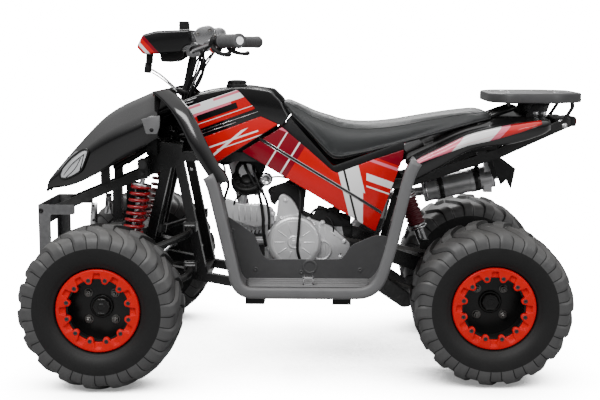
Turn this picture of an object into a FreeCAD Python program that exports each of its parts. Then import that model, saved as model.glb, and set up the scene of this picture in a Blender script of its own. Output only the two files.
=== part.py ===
import FreeCAD, Part
import math
import os

from FreeCAD import Vector

# A sports quad bike, in millimetres. While it is modelled, X = 0 is the rear axle, +X points forward,
# +Y to the vehicle's left and Z = 0 is the floor. At the end every piece is shifted so that the
# origin lies on the floor under the middle of the overall length.

# Overall
wheelbase = 1127.0
front_reach = 256.0
rear_reach = 294.0
overrun = 20.0
seat_gap = 0.3
shaft_gap = 0.08
deg = math.pi / 180

# Wheels and tyres
front_tyre_radius = 236.0
front_tyre_width = 178.0
front_half_track = 412.0
rear_tyre_radius = 232.0
rear_tyre_width = 241.0
rear_half_track = 303.0
lug_height = 11.0
shoulder_drop = 24.0
lug_count = 18
lug_sweep = 13.0 * deg
rim_radius = 102.0
rim_wall = 4.0
rim_disc = 6.0
bead_inset = 31.0
ring_radius = 120.5
ring_gap = 1.5
ring_notch_radius = 90.0
ring_thickness = 12.0
ring_lobes = 12
lobe_circle = 87.0
lobe_radius = 11.0
wheel_nut_circle = 55.0
wheel_nut_radius = 9.0
wheel_nut_length = 14.0
hub_radius = 27.0
hub_length = 42.0
hub_cap_length = 20.0
hub_ease = 6.0

# Frame: square tubes in two side planes
frame_half = 112.0
tube_width = 28.0
lower_rail_height = 238.0
engine_bay_front = 740.0
engine_bay_rear = 365.0
leg_foot_rear = 870.0
leg_foot_front = 1056.0
rear_leg_foot_height = 262.0
front_leg_foot_height = 299.0
leg_head = 958.0
leg_head_height = 640.0
leg_head_spread = 14.0
nose_rail_end = 1352.0
nose_rail_height = 330.0
front_upright = 1135.0
bumper_tube_end = 1330.0
bumper_tube_height = 473.0
spine_mid = 700.0
spine_mid_height = 640.0
spine_low = 430.0
spine_low_height = 548.0
spine_rear = 235.0
spine_rear_height = 560.0
tail_mid = -47.0
tail_mid_height = 655.0
tail_end = -246.0
tail_end_height = 746.0
pivot_x = 300.0
pivot_height = 330.0
gusset_width = 100.0
gusset_height = 86.0
gusset_bend = 14.0

# Steering column
column_x = 936.0
column_height = 818.0
column_rake = 12.0 * deg
column_radius = 12.5
column_foot_height = 365.0
column_head_height = 950.0
bearing_radius = 24.0
bearing_length = 26.0
lower_bearing_height = 400.0
upper_bearing_height = 668.0
pitman_length = 56.0
pitman_spread = 14.0
pitman_thickness = 8.0
stud_radius = 5.0
eye_radius = 11.0
eye_thickness = 12.0
open_eye_gap = 4.5
tie_rod_radius = 7.0

# Front suspension
kingpin_y = 295.0
caster = 5.0 * deg
kingpin_radius = 8.0
kingpin_boss_radius = 17.0
ball_housing_length = 26.0
upper_ball_height = 330.0
lower_ball_height = 186.0
upper_pivot_height = 425.0
lower_pivot_height = 300.0
arm_pivot_rear = 905.0
arm_pivot_front = 1130.0
arm_bush_radius = 14.0
arm_bush_length = 30.0
arm_tube_radius = 11.0
arm_bracket = 5.0
arm_pivot_out = 20.0
arm_knee = 26.0
arm_bend = 30.0
arm_ear_reach = 8.0
spindle_radius = 12.0
brake_plate_radius = 84.0
brake_plate_thickness = 8.0
brake_plate_y = 352.0
steering_arm_length = 70.0
steering_arm_out = 6.0
steering_arm_height = 285.0
steering_arm_thickness = 10.0

# Shock absorbers
shock_top_x = 1036.0
shock_top_y = 200.0
shock_top_height = 598.0
shock_foot_x = 1098.0
shock_foot_y = 212.0
shock_foot_height = 292.0
shock_eye_radius = 15.0
shock_bar_radius = 9.0
shock_eye_width = 34.0
damper_radius = 16.0
damper_rod_radius = 8.0
spring_radius = 29.0
spring_wire = 4.5
spring_turns = 7
spring_steps = 12
spring_corners = 6
spring_start_share = 0.13
spring_end_share = 0.63
rear_shock_top_x = 236.0
rear_shock_top_drop = 40.0
rear_shock_foot_x = 172.0
rear_shock_foot_height = 352.0

# Swingarm and rear axle
arm_half = 50.0
arm_box_width = 30.0
arm_box_height = 46.0
carrier_radius = 38.0
carrier_half = 70.0
pivot_boss_radius = 20.0
pivot_pin_radius = 9.0
axle_radius = 15.0
sprocket_y = 84.0
sprocket_radius = 78.0
sprocket_thickness = 6.0
drive_sprocket_x = 448.0
drive_sprocket_height = 345.0
drive_sprocket_radius = 32.0
chain_height = 12.0
chain_width = 14.0
chain_plate = 3.0
chain_gap = 1.0
disc_y = -84.0
disc_radius = 84.0
disc_thickness = 4.0
axle_hub_radius = 30.0
axle_hub_length = 60.0

# Engine
crankcase_front = 680.0
crankcase_rear = 410.0
crankcase_floor = 268.0
crankcase_top = 428.0
crankcase_half = 62.0
crank_x = 584.0
crank_height = 372.0
crank_cover_radius = 84.0
crank_cover_depth = 56.0
clutch_x = 500.0
clutch_height = 345.0
clutch_cover_radius = 66.0
clutch_cover_depth = 40.0
cylinder_front = 812.0
cylinder_height = 430.0
cylinder_depth = 84.0
cylinder_half = 48.0
cylinder_tilt = 6.0 * deg
fin_pitch = 12.0
fin_thickness = 4.0
fin_depth = 9.0
starter_x = 585.0
starter_radius = 30.0
starter_top = 548.0
cover_ease = 14.0
case_bend = 22.0
plug_radius = 12.0
plug_height = 5.0
filter_radius = 38.0
filter_length = 62.0
muffler_band = 14.0
muffler_ease = 10.0
muffler_tip = 12.0
muffler_tip_radius = 14.0

# Carburettor and exhaust
carburettor_x = 735.0
carburettor_height = 585.0
carburettor_radius = 26.0
exhaust_y = 158.0
exhaust_radius = 15.0
exhaust_bend = 45.0
muffler_front = 165.0
muffler_rear = -68.0
muffler_front_height = 500.0
muffler_rear_height = 553.0
muffler_radius = 38.0

# Footwells
tray_inner = 180.0
tray_outer = 345.0
tray_floor = 262.0
tray_sheet = 5.0
tray_front = 742.0
tray_rear = 340.0
tray_front_top = 812.0
tray_rear_top = 252.0
tray_front_height = 584.0
tray_rear_height = 590.0
tray_knee = 757.0
tray_knee_height = 345.0
tray_tail = 224.0
tray_tail_height = 650.0
tray_tail_inner = 303.0
tray_flange = 34.0
tray_bend = 46.0
tray_hollow_bend = 16.0
tray_rib = 4.0
tray_rib_width = 7.0
peg_depth = 40.0

# Saddle and tank
saddle_rear = -32.0
saddle_length = 661.0
saddle_low = 619.0
saddle_height = 200.0
saddle_half = 130.0
saddle_rim = 12.0
saddle_clear = 1.0
cover_half = 108.0
cover_base = 700.0
cover_height = 153.0
cover_rear = 650.0
cover_length = 308.0
tank_rear = 640.0
tank_length = 240.0

# Body panels
panel_sheet = 6.0
panel_bend = 12.0
panel_groove = 8.0
shroud_y = 150.0
upper_shroud_rear = 698.0
upper_shroud_length = 227.0
upper_shroud_low = 722.0
upper_shroud_height = 120.0
lower_shroud_rear = 627.0
lower_shroud_length = 243.0
lower_shroud_low = 623.0
lower_shroud_height = 146.0
side_panel_y = 136.0
side_panel_rear = 256.0
side_panel_length = 481.0
side_panel_height = 321.0

# Front fender with its flaps and lamps
fender_half = 240.0
fender_sheet = 5.0
fender_peak = 985.0
fender_nose_length = 376.0
fender_low = 527.0
fender_height = 321.0
flap_foot = 816.0
flap_length = 190.0
flap_low = 586.0
flap_height = 256.0
flap_half = 334.0
flap_corner = 12.0
flap_band = 50.0
lamp_rear = 1236.0
lamp_length = 82.0
lamp_low = 575.0
lamp_height = 85.0
lamp_depth = 22.0
lamp_bend = 8.0
nose_post = 1174.0
nose_post_height = 744.0

# Rear fender
rear_fender_half = 300.0
rear_fender_sheet = 5.0
fender_tail = -176.0
wing_front = 243.0
wing_edge = 12.0
wing_crown = 3.0

# Rack
rack_top = 838.0
rack_front = -8.0
rack_half = 185.0
rack_tail_half = 95.0
rack_depth = 30.0
rack_sheet = 5.0
rack_bolt_radius = 4.25
rack_bolt_x = 150.0
rack_bolt_y = 120.0
rack_bend = 26.0
stay_x = -118.0
stay_width = 36.0
stay_lean = 76.0
rear_stay_width = 22.0
rear_stay_lean = 34.0
tail_lamp_half = 50.0

# Bumper
bumper_sheet = 5.0
bumper_top = 489.0
bumper_floor = 300.0
bumper_arm_depth = 31.0
bumper_arm_length = 115.0
bumper_strap = 38.0
bumper_bend = 6.0

# Handlebar
bar_radius = 11.0
bar_bend = 50.0
grip_end_x = 727.0
grip_end_y = 372.0
grip_end_height = 993.0
grip_length = 122.0
grip_radius = 19.5
bar_centre_height = 966.0
bar_clamp_half = 36.0
grip_ease = 6.0
bar_rise_x = 80.0
bar_rise_y = 215.0
bar_knee_x = 6.0
bar_knee_y = 95.0
grip_lean = 59.0
lever_radius = 7.0
lever_bend = 18.0
lever_reach = 24.0
lever_drop = 18.0
lever_back = 32.0
lever_length = 110.0
lever_sag = 34.0
reservoir_length = 26.0
reservoir_width = 40.0
reservoir_height = 40.0
pad_rear = 898.0
pad_length = 173.0
pad_low = 951.0
pad_height = 78.0
pad_half = 105.0
pad_bend = 8.0
dial_x = 917.0
dial_length = 31.0
dial_rise = 28.0

# Tail bracket, skid under the swingarm's pivot, and cables
bracket_half = 70.0
bracket_front = -49.0
bracket_drop = 104.0
bracket_length = 54.0
bracket_sheet = 6.0
skid_length = 112.0
skid_drop = 70.0
skid_bend = 24.0
cable_radius = 3.0
cable_bend = 34.0
cable_start_drop = 12.0
cable_slack = 40.0
cable_side = 22.0
cable_spread = 12.0
collar_radius = 30.0
collar_height = 705.0
collar_length = 12.0

front_axle = Vector(wheelbase, 0, front_tyre_radius)
rear_axle = Vector(0, 0, rear_tyre_radius)
along_y = Vector(0, 1, 0)
column_up = Vector(-math.sin(column_rake), 0, math.cos(column_rake))
column_back = Vector(-math.cos(column_rake), 0, -math.sin(column_rake))
kingpin_up = Vector(-math.sin(caster), 0, math.cos(caster))
kingpin_back = Vector(-math.cos(caster), 0, -math.sin(caster))
frame_out = frame_half + tube_width / 2
frame_in = frame_half - tube_width / 2
bumper_half = frame_out + bumper_sheet
saddle_front = saddle_rear + saddle_length
tank_front = tank_rear + tank_length
arc_share = 0.42
flat_share = 1e-9


# Helpers
def face(points):
    return Part.Face(Part.makePolygon(list(points) + [points[0]]))


def plate(outline, y_low, y_high):
    ring = [Vector(x, y_low, z) for x, z in outline]
    return face(ring).extrude(Vector(0, y_high - y_low, 0))


def slab(outline, z_low, z_high):
    ring = [Vector(x, y, z_low) for x, y in outline]
    return face(ring).extrude(Vector(0, 0, z_high - z_low))


def block(low, high):
    size = high - low
    return Part.makeBox(size.x, size.y, size.z, low)


def rod(start, end, radius):
    run = end - start
    return Part.makeCylinder(radius, run.Length, start, run)


def tube(start, end, radius, bore):
    run = end - start
    hole = Part.makeCylinder(bore, run.Length + 2 * overrun, start - run * (overrun / run.Length), run)
    return rod(start, end, radius).cut(hole)


def fused(shapes):
    whole = shapes[0]
    if len(shapes) > 1:
        whole = whole.multiFuse(shapes[1:])
    return whole.removeSplitter()


def mirrored(shape):
    return shape.mirror(Vector(0, 0, 0), along_y)


def pair(shape):
    return Part.makeCompound([shape, mirrored(shape)])


def strip(points, width):
    """Outline of a band of one width along a line of (x, z) points, with mitred corners."""
    normals = []
    for (x0, z0), (x1, z1) in zip(points, points[1:]):
        length = math.hypot(x1 - x0, z1 - z0)
        normals.append((-(z1 - z0) / length, (x1 - x0) / length))
    upper, lower = [], []
    for i, (x, z) in enumerate(points):
        a = normals[max(i - 1, 0)]
        b = normals[min(i, len(normals) - 1)]
        share = width / 2 / (1 + a[0] * b[0] + a[1] * b[1])
        dx, dz = (a[0] + b[0]) * share, (a[1] + b[1]) * share
        upper.append((x + dx, z + dz))
        lower.append((x - dx, z - dz))
    return upper + lower[::-1]


def member(points, width=tube_width):
    return plate(strip(points, width), frame_in, frame_out)


def bent_path(points, bend):
    edges = []
    start = points[0]
    for before, corner, after in zip(points, points[1:], points[2:]):
        into = (corner - before).normalize()
        out = (after - corner).normalize()
        turn = into.getAngle(out)
        reach = bend * math.tan(turn / 2)
        middle = corner + (out - into).normalize() * (bend / math.cos(turn / 2) - bend)
        entry, leave = corner - into * reach, corner + out * reach
        edges.append(Part.makeLine(start, entry))
        edges.append(Part.Arc(entry, middle, leave).toShape())
        start = leave
    edges.append(Part.makeLine(start, points[-1]))
    return Part.Wire(edges)


def pipe(points, radius, bend):
    circle = Part.Wire(Part.makeCircle(radius, points[0], points[1] - points[0]))
    return bent_path(points, bend).makePipeShell([circle], True, False)


def rounded_wire(points, radii):
    """Closed outline in one plane with an arc of its own radius at each corner, or none where it is 0."""
    count = len(points)
    spots = []
    for i, (corner, radius) in enumerate(zip(points, radii)):
        before, after = points[i - 1], points[(i + 1) % count]
        into, out = corner - before, after - corner
        longest = arc_share * min(into.Length, out.Length)
        turn = into.getAngle(out)
        reach = min(radius * math.tan(turn / 2), longest)
        into.normalize()
        out.normalize()
        bend = reach / math.tan(turn / 2)
        middle = corner + (out - into).normalize() * (bend / math.cos(turn / 2) - bend)
        spots.append((corner - into * reach, middle, corner + out * reach, radius > 0))
    edges = []
    for i, (entry, middle, leave, curved) in enumerate(spots):
        if curved:
            edges.append(Part.Arc(entry, middle, leave).toShape())
        edges.append(Part.makeLine(leave, spots[(i + 1) % count][0]))
    return Part.Wire(edges)


def rounded_plate(outline, radii, y_low, y_high):
    if not isinstance(radii, list):
        radii = [radii] * len(outline)
    wire = rounded_wire([Vector(x, y_low, z) for x, z in outline], radii)
    return Part.Face(wire).extrude(Vector(0, y_high - y_low, 0))


def bent_band(points, width, bend, y_low, y_high):
    """Band of one width along a line of (x, z) points, bent round each corner at one radius."""
    outline = strip(points, width)
    upper_radii, lower_radii = [0.0], [0.0]
    for (x0, z0), (x1, z1), (x2, z2) in zip(points, points[1:], points[2:]):
        side = math.copysign(width / 2, (x1 - x0) * (z2 - z1) - (z1 - z0) * (x2 - x1))
        upper_radii.append(bend - side)
        lower_radii.append(bend + side)
    radii = upper_radii + [0.0, 0.0] + lower_radii[::-1]
    return rounded_plate(outline, radii, y_low, y_high)


def domed(start, end, radius, ease):
    """Rod whose far edge is rounded."""
    body = rod(start, end, radius)
    far = [e for e in body.Edges if e.Closed and (e.BoundBox.Center - end).Length < radius / 2]
    return body.makeFillet(ease, far)


def flat_solid(outlines):
    """Solid of flat faces. An outline of four points that isn't flat is split in two."""
    faces = []
    for points in outlines:
        a, b, c, d = (points + points[:1])[:4] if len(points) > 3 else points + points[:1]
        level = abs((b - a).cross(c - a).dot(d - a))
        if level <= (b - a).Length * (c - a).Length * (d - a).Length * flat_share:
            faces.append(face(points))
        else:
            faces.append(face([a, b, c]))
            faces.append(face([a, c, d]))
    return Part.makeSolid(Part.makeShell(faces))


def across(x, z, half, radius):
    return rod(Vector(x, -half, z), Vector(x, half, z), radius)


def column_point(height):
    return Vector(column_x, 0, column_height) + column_up * ((height - column_height) / column_up.z)


def kingpin_point(height):
    foot = Vector(wheelbase, kingpin_y, front_tyre_radius)
    return foot + kingpin_up * ((height - front_tyre_radius) / kingpin_up.z)


def line_height(points, x):
    """Height at x of a line of (x, z) points."""
    for (x0, z0), (x1, z1) in zip(points, points[1:]):
        if min(x0, x1) <= x <= max(x0, x1):
            return z0 + (z1 - z0) * (x - x0) / (x1 - x0)
    raise ValueError(f"no height at {x}")


nodes = {}

# Wheels, each modelled about its own centre with +Y pointing outward.
# A tyre is a flat-faceted ring whose lugs and grooves alternate. Both are swept back from the middle of
# the tread, and the lugs run out on the shoulder, where the plain sidewall starts.
middle_share = 0.05
lug_shares = [(middle_share, 0.0, 0.0), (0.60, 0.10, 0.75), (0.92, 1.0, 1.0)]
wall_share = 0.62


def tyre(radius, width):
    half = width / 2
    tread = radius - lug_height
    bead = half - bead_inset
    steps = 2 * lug_count
    pitch = 2 * math.pi / steps
    bore = (rim_radius + shaft_gap) / math.cos(pitch / 2)
    lip = (ring_radius + ring_gap) / math.cos(pitch / 2)

    def spot(side, step, y, r, swept):
        angle = step * pitch + lug_sweep * swept
        return Vector(r * math.sin(angle), side * y, -r * math.cos(angle))

    def line(side, step, lowered):
        """Points over the tread at one edge of a lug, at the lug's height or at the groove's."""
        points = []
        for y_share, drop_share, swept in lug_shares:
            top = radius - shoulder_drop * drop_share - (lug_height if lowered else 0.0)
            points.append(spot(side, step, half * y_share, top, swept))
        return points

    def wall(side, step):
        return [spot(side, step, half, rim_radius + (tread - rim_radius) * wall_share, 1.0),
                spot(side, step, bead, lip, 1.0), spot(side, step, bead, bore, 1.0)]

    outlines = []
    for side, shift in ((1, 0), (-1, 1)):
        for step in range(steps):
            after = step + 1
            lowered = (step + shift) % 2 == 1
            here = line(side, step, lowered) + wall(side, step)
            there = line(side, after, lowered) + wall(side, after)
            for a, b, c, d in zip(here, here[1:], there[1:], there):
                outlines.append([a, b, c, d])
            high, low, end = line(side, after, False), line(side, after, True), wall(side, after)[0]
            for a, b, c, d in zip(high, high[1:], low[1:], low):
                outlines.append([a, b, c, d])
            outlines.append([high[-1], end, low[-1]])
            if not lowered:
                outlines.append([line(side, step, False)[0], line(side, after, False)[0],
                                 line(side, after, True)[0], line(side, step, True)[0]])
    for step in range(steps):
        after = step + 1
        outlines.append([line(1, step, True)[0], line(1, after, True)[0],
                         line(-1, after, True)[0], line(-1, step, True)[0]])
        outlines.append([wall(1, step)[-1], wall(1, after)[-1], wall(-1, after)[-1], wall(-1, step)[-1]])
    return flat_solid(outlines)


def rim(width, bore):
    """Steel rim: barrel with two flanges, centre disc, nuts and a hub that holds the axle."""
    bead = width / 2 - bead_inset
    lip = rim_radius + rim_wall
    barrel = tube(Vector(0, -bead, 0), Vector(0, bead, 0), rim_radius, rim_radius - rim_wall)
    inner_lip = tube(Vector(0, -bead - rim_wall, 0), Vector(0, -bead, 0), lip, rim_radius - rim_wall)
    flange = tube(Vector(0, bead - rim_wall, 0), Vector(0, bead, 0), rim_radius, lobe_circle)
    disc = rod(Vector(0, -rim_disc / 2, 0), Vector(0, rim_disc / 2, 0), rim_radius - rim_wall / 2)
    hub = rod(Vector(0, -hub_length, 0), Vector(0, 0, 0), hub_radius)
    cap = domed(Vector(0, 0, 0), Vector(0, hub_cap_length, 0), hub_radius, hub_ease)
    pieces = [barrel, inner_lip, flange, disc, hub, cap]
    for i in range(4):
        angle = (i + 0.5) * math.pi / 2
        x, z = wheel_nut_circle * math.cos(angle), wheel_nut_circle * math.sin(angle)
        pieces.append(rod(Vector(x, 0, z), Vector(x, wheel_nut_length, z), wheel_nut_radius))
    whole = fused(pieces)
    return whole.cut(rod(Vector(0, -hub_length - overrun, 0), Vector(0, -rim_disc / 2, 0), bore))


def ring(width):
    """Bead ring with a lobe for each of its bolts."""
    back = width / 2 - bead_inset + seat_gap
    front = back + ring_thickness
    annulus = tube(Vector(0, back, 0), Vector(0, front, 0), ring_radius, ring_notch_radius)
    lobes = []
    for i in range(ring_lobes):
        angle = (i + 0.5) * 2 * math.pi / ring_lobes
        x, z = lobe_circle * math.cos(angle), lobe_circle * math.sin(angle)
        lobes.append(rod(Vector(x, back, z), Vector(x, front, z), lobe_radius))
    return fused([annulus] + lobes)


def at_wheel(shape, centre, side):
    placed = shape if side > 0 else mirrored(shape)
    placed = placed.copy()
    placed.translate(centre)
    return placed


front_tyre = tyre(front_tyre_radius, front_tyre_width)
front_rim = rim(front_tyre_width, spindle_radius + shaft_gap)
front_ring = ring(front_tyre_width)
for side, name in ((1, "left"), (-1, "right")):
    centre = front_axle + along_y * (side * front_half_track)
    nodes[f"tyre_front_{name}"] = at_wheel(front_tyre, centre, side)
    nodes[f"rim_front_{name}"] = at_wheel(front_rim, centre, side)
    nodes[f"ring_front_{name}"] = at_wheel(front_ring, centre, side)

rear_tyre = tyre(rear_tyre_radius, rear_tyre_width)
rear_rim = rim(rear_tyre_width, axle_radius)
rear_ring = ring(rear_tyre_width)
for piece, name in ((rear_tyre, "tyres_rear"), (rear_rim, "rims_rear"), (rear_ring, "rings_rear")):
    left = at_wheel(piece, rear_axle + along_y * rear_half_track, 1)
    nodes[name] = pair(left)

# Rear axle with its hubs, sprocket and brake disc
axle_end = rear_half_track - rim_disc / 2
shaft = rod(rear_axle - along_y * axle_end, rear_axle + along_y * axle_end, axle_radius)
hub_start = rear_half_track - hub_length - axle_hub_length
hubs = [
    rod(rear_axle + along_y * (side * hub_start), rear_axle + along_y * (side * (hub_start + axle_hub_length)),
        axle_hub_radius)
    for side in (1, -1)
]
nodes["rear_axle"] = fused([shaft] + hubs)


def centred_disc(centre, y, radius, thickness, bore):
    low = centre + along_y * (y - thickness / 2)
    return tube(low, low + along_y * thickness, radius, bore)


nodes["sprocket"] = centred_disc(rear_axle, sprocket_y, sprocket_radius, sprocket_thickness, axle_radius)
nodes["brake_disc"] = centred_disc(rear_axle, disc_y, disc_radius, disc_thickness, axle_radius)

# Chain: a closed loop of two rows of side plates with the sprockets between them
chain_start = Vector(0, 0, rear_tyre_radius)
chain_end = Vector(drive_sprocket_x, 0, drive_sprocket_height)


def belt(rear_radius, front_radius, y_low, y_high):
    """Solid inside a belt round the two sprockets."""
    run = chain_end - chain_start
    heading = math.atan2(run.z, run.x)
    lean = math.acos((rear_radius - front_radius) / run.Length)
    points = []
    for sign in (1, -1):
        for centre, radius in ((chain_start, rear_radius), (chain_end, front_radius)):
            angle = heading + sign * lean
            spot = centre + Vector(math.cos(angle), 0, math.sin(angle)) * radius
            points.append((spot.x, spot.z))
    upper_rear, upper_front, lower_rear, lower_front = points
    middle = plate([upper_rear, upper_front, lower_front, lower_rear], y_low, y_high)
    discs = [
        rod(Vector(c.x, y_low, c.z), Vector(c.x, y_high, c.z), r)
        for c, r in ((chain_start, rear_radius), (chain_end, front_radius))
    ]
    return middle.fuse(discs[0]).fuse(discs[1]).removeSplitter()


rear_inner = sprocket_radius + chain_gap
front_inner = drive_sprocket_radius + chain_gap
chain_low = sprocket_y - chain_width / 2
chain_high = sprocket_y + chain_width / 2
outer_belt = belt(rear_inner + chain_height, front_inner + chain_height, chain_low, chain_high)
nodes["chain"] = outer_belt.cut(
    belt(rear_inner, front_inner, chain_low - overrun, chain_high + overrun))

# Frame
side_members = [
    member([(pivot_x + tube_width, lower_rail_height), (engine_bay_front, lower_rail_height),
            (leg_foot_rear, rear_leg_foot_height), (leg_foot_front, front_leg_foot_height),
            (nose_rail_end, nose_rail_height)]),
    member([(leg_foot_front, front_leg_foot_height), (leg_head + leg_head_spread, leg_head_height)]),
    member([(leg_foot_rear, rear_leg_foot_height), (leg_head - leg_head_spread, leg_head_height)]),
    member([(leg_head, leg_head_height), (spine_mid, spine_mid_height), (spine_low, spine_low_height),
            (spine_rear, spine_rear_height), (tail_mid, tail_mid_height), (tail_end, tail_end_height)]),
    member([(pivot_x + tube_width, lower_rail_height), (pivot_x, pivot_height),
            (spine_rear, spine_rear_height)]),
    member([(leg_head, leg_head_height - tube_width / 2), (bumper_tube_end, bumper_tube_height)]),
]
bumper_line = [(bumper_tube_end, bumper_tube_height), (leg_head, leg_head_height - tube_width / 2)]
nose_line = [(leg_foot_front, front_leg_foot_height), (nose_rail_end, nose_rail_height)]
side_members.append(member([
    (front_upright, line_height(nose_line, front_upright)),
    (front_upright, line_height(bumper_line, front_upright))]))
skid_shares = [(0.0, 0.2), (-0.28, 0.32), (-0.98, -0.45), (-1.0, -0.92), (-0.74, -1.0), (0.0, -0.2)]
side_members.append(rounded_plate(
    [(pivot_x + tube_width + skid_length * x, lower_rail_height + skid_drop * z) for x, z in skid_shares],
    skid_bend, frame_in, frame_out))
gusset = [
    (leg_head - gusset_width / 3, leg_head_height - gusset_height / 3),
    (leg_head + gusset_width * 0.75, leg_head_height - gusset_height / 2),
    (leg_head + gusset_width * 0.7, leg_head_height + gusset_height * 0.55),
    (leg_head - gusset_width / 4, leg_head_height + gusset_height * 0.45),
]
side_members.append(rounded_plate(gusset, gusset_bend, frame_in, frame_out))

rail_line = [(engine_bay_front, lower_rail_height), (leg_foot_rear, rear_leg_foot_height),
             (leg_foot_front, front_leg_foot_height), (nose_rail_end, nose_rail_height)]
rear_leg_line = [(leg_foot_rear, rear_leg_foot_height), (leg_head - leg_head_spread, leg_head_height)]


def arm_ears(x, height, low, high):
    """Bracket on the frame's side: a base plate and two ears that hold a wishbone's bush."""
    half = arm_bush_length / 2 + seat_gap
    base = block(Vector(x - half - arm_bracket, frame_out, low),
                 Vector(x + half + arm_bracket, frame_out + arm_bracket, high))
    reach = frame_out + arm_bracket + arm_pivot_out + arm_ear_reach
    ears = []
    for start in (x - half - arm_bracket, x + half):
        ears.append(block(Vector(start, frame_out, height - arm_bush_radius),
                          Vector(start + arm_bracket, reach, height + arm_bush_radius)))
    return [base] + ears


brackets = []
for x in (arm_pivot_rear, arm_pivot_front):
    rail_z = line_height(rail_line, x)
    brackets += arm_ears(x, lower_pivot_height, rail_z - tube_width / 2, lower_pivot_height + arm_bush_radius)
    brackets += arm_ears(x, upper_pivot_height, upper_pivot_height - arm_bush_radius,
                         upper_pivot_height + arm_bush_radius)

frame_sides = fused(side_members + brackets)


def square_across(x, z, width=tube_width):
    half = width / 2
    return block(Vector(x - half, -frame_half, z - half), Vector(x + half, frame_half, z + half))


def bearing(height, beam_x):
    """Bearing ring round the column, with a web to the cross member in front of it."""
    middle = column_point(height)
    half = column_up * (bearing_length / 2)
    ring_shape = rod(middle - half, middle + half, bearing_radius)
    web = block(Vector(middle.x, -bearing_radius / 2, height - tube_width / 2),
                Vector(beam_x, bearing_radius / 2, height + tube_width / 2))
    return [ring_shape, web, square_across(beam_x, height)]


front_leg_line = [(leg_foot_front, front_leg_foot_height), (leg_head + leg_head_spread, leg_head_height)]


def crossing(line, height):
    return line_height([(z, x) for x, z in line], height)


lower_beam = column_point(lower_bearing_height).x + bearing_radius + tube_width / 2
upper_beam = column_point(upper_bearing_height).x + bearing_radius + tube_width / 2
cross_members = (
    bearing(lower_bearing_height, lower_beam) + bearing(upper_bearing_height, upper_beam))
for x, z in (
    (leg_foot_rear, rear_leg_foot_height),
    (nose_rail_end - tube_width, nose_rail_height),
    (engine_bay_front - tube_width, lower_rail_height),
    (engine_bay_rear, lower_rail_height),
    (spine_rear, spine_rear_height),
    (tail_mid, tail_mid_height),
    (tail_end, tail_end_height),
):
    cross_members.append(square_across(x, z))
shock_beam = across(shock_top_x, shock_top_height + shock_eye_radius + tube_width / 2,
                    shock_top_y + shock_eye_width, tube_width / 2)
hanger = []
for side in (1, -1):
    for offset in (-shock_eye_width / 2 - seat_gap - arm_bracket, shock_eye_width / 2 + seat_gap):
        y = side * shock_top_y + offset
        hanger.append(block(
            Vector(shock_top_x - shock_eye_radius, y, shock_top_height - shock_eye_radius),
            Vector(shock_top_x + shock_eye_radius, y + arm_bracket,
                   shock_top_height + shock_eye_radius + tube_width)))
        hanger.append(rod(
            Vector(shock_top_x, side * shock_top_y - shock_eye_width, shock_top_height),
            Vector(shock_top_x, side * shock_top_y + shock_eye_width, shock_top_height), stud_radius))
rear_shock_pin = spine_rear_height - rear_shock_top_drop
for side in (1, -1):
    low, high = sorted((side * (shock_eye_width / 2 + seat_gap),
                        side * (shock_eye_width / 2 + seat_gap + arm_bracket)))
    hanger.append(block(
        Vector(rear_shock_top_x - shock_eye_radius, low, rear_shock_pin - 2 * stud_radius),
        Vector(rear_shock_top_x + shock_eye_radius, high, spine_rear_height)))
hanger.append(across(rear_shock_top_x, rear_shock_pin, shock_eye_width / 2 + arm_bracket, stud_radius))
column_bore = rod(column_point(0), column_point(column_head_height), column_radius + shaft_gap)
frame_pieces = [frame_sides, mirrored(frame_sides), shock_beam] + cross_members + hanger

# Front suspension arms
def wishbone(pivot_height, ball_height):
    ball = kingpin_point(ball_height)
    y = frame_out + arm_bracket + arm_pivot_out
    pieces = []
    for x in (arm_pivot_rear, arm_pivot_front):
        hinge = Vector(x, y, pivot_height)
        half = Vector(arm_bush_length / 2, 0, 0)
        drop = (ball.z - hinge.z) / (ball.y - hinge.y)
        knee = hinge + Vector(0, 1, drop) * arm_knee
        pieces.append(rod(hinge - half, hinge + half, arm_bush_radius))
        pieces.append(pipe([hinge, knee, ball], arm_tube_radius, arm_bend))
    half = kingpin_up * (ball_housing_length / 2)
    pieces.append(rod(ball - half, ball + half, kingpin_boss_radius))
    return pieces


shock_top = Vector(shock_top_x, shock_top_y, shock_top_height)
shock_foot = Vector(shock_foot_x, shock_foot_y, shock_foot_height)


def lower_arm_seat():
    """Cradle between the lower wishbone's tubes that carries the shock absorber's foot."""
    y0 = frame_out + arm_bracket + arm_pivot_out + arm_knee
    ball = kingpin_point(lower_ball_height)
    share = (shock_foot_y - y0) / (ball.y - y0)
    hinge_y = y0 - arm_knee
    z = lower_pivot_height + (ball.z - lower_pivot_height) * (shock_foot_y - hinge_y) / (ball.y - hinge_y)
    rear_x = arm_pivot_rear + (ball.x - arm_pivot_rear) * share
    front_x = arm_pivot_front + (ball.x - arm_pivot_front) * share
    bar = rod(Vector(rear_x, shock_foot_y, z), Vector(front_x, shock_foot_y, z), shock_bar_radius)
    half = shock_eye_width / 2 + seat_gap
    base = block(Vector(shock_foot_x - shock_eye_radius, shock_foot_y - half - arm_bracket, z),
                 Vector(shock_foot_x + shock_eye_radius, shock_foot_y + half + arm_bracket, z + arm_bracket))
    ears = [bar, base]
    for y in (shock_foot_y - half - arm_bracket, shock_foot_y + half):
        ears.append(block(
            Vector(shock_foot_x - shock_eye_radius, y, z),
            Vector(shock_foot_x + shock_eye_radius, y + arm_bracket, shock_foot_height + shock_eye_radius)))
    ears.append(rod(Vector(shock_foot_x, shock_foot_y - half - arm_bracket, shock_foot_height),
                    Vector(shock_foot_x, shock_foot_y + half + arm_bracket, shock_foot_height), stud_radius))
    return ears


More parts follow.
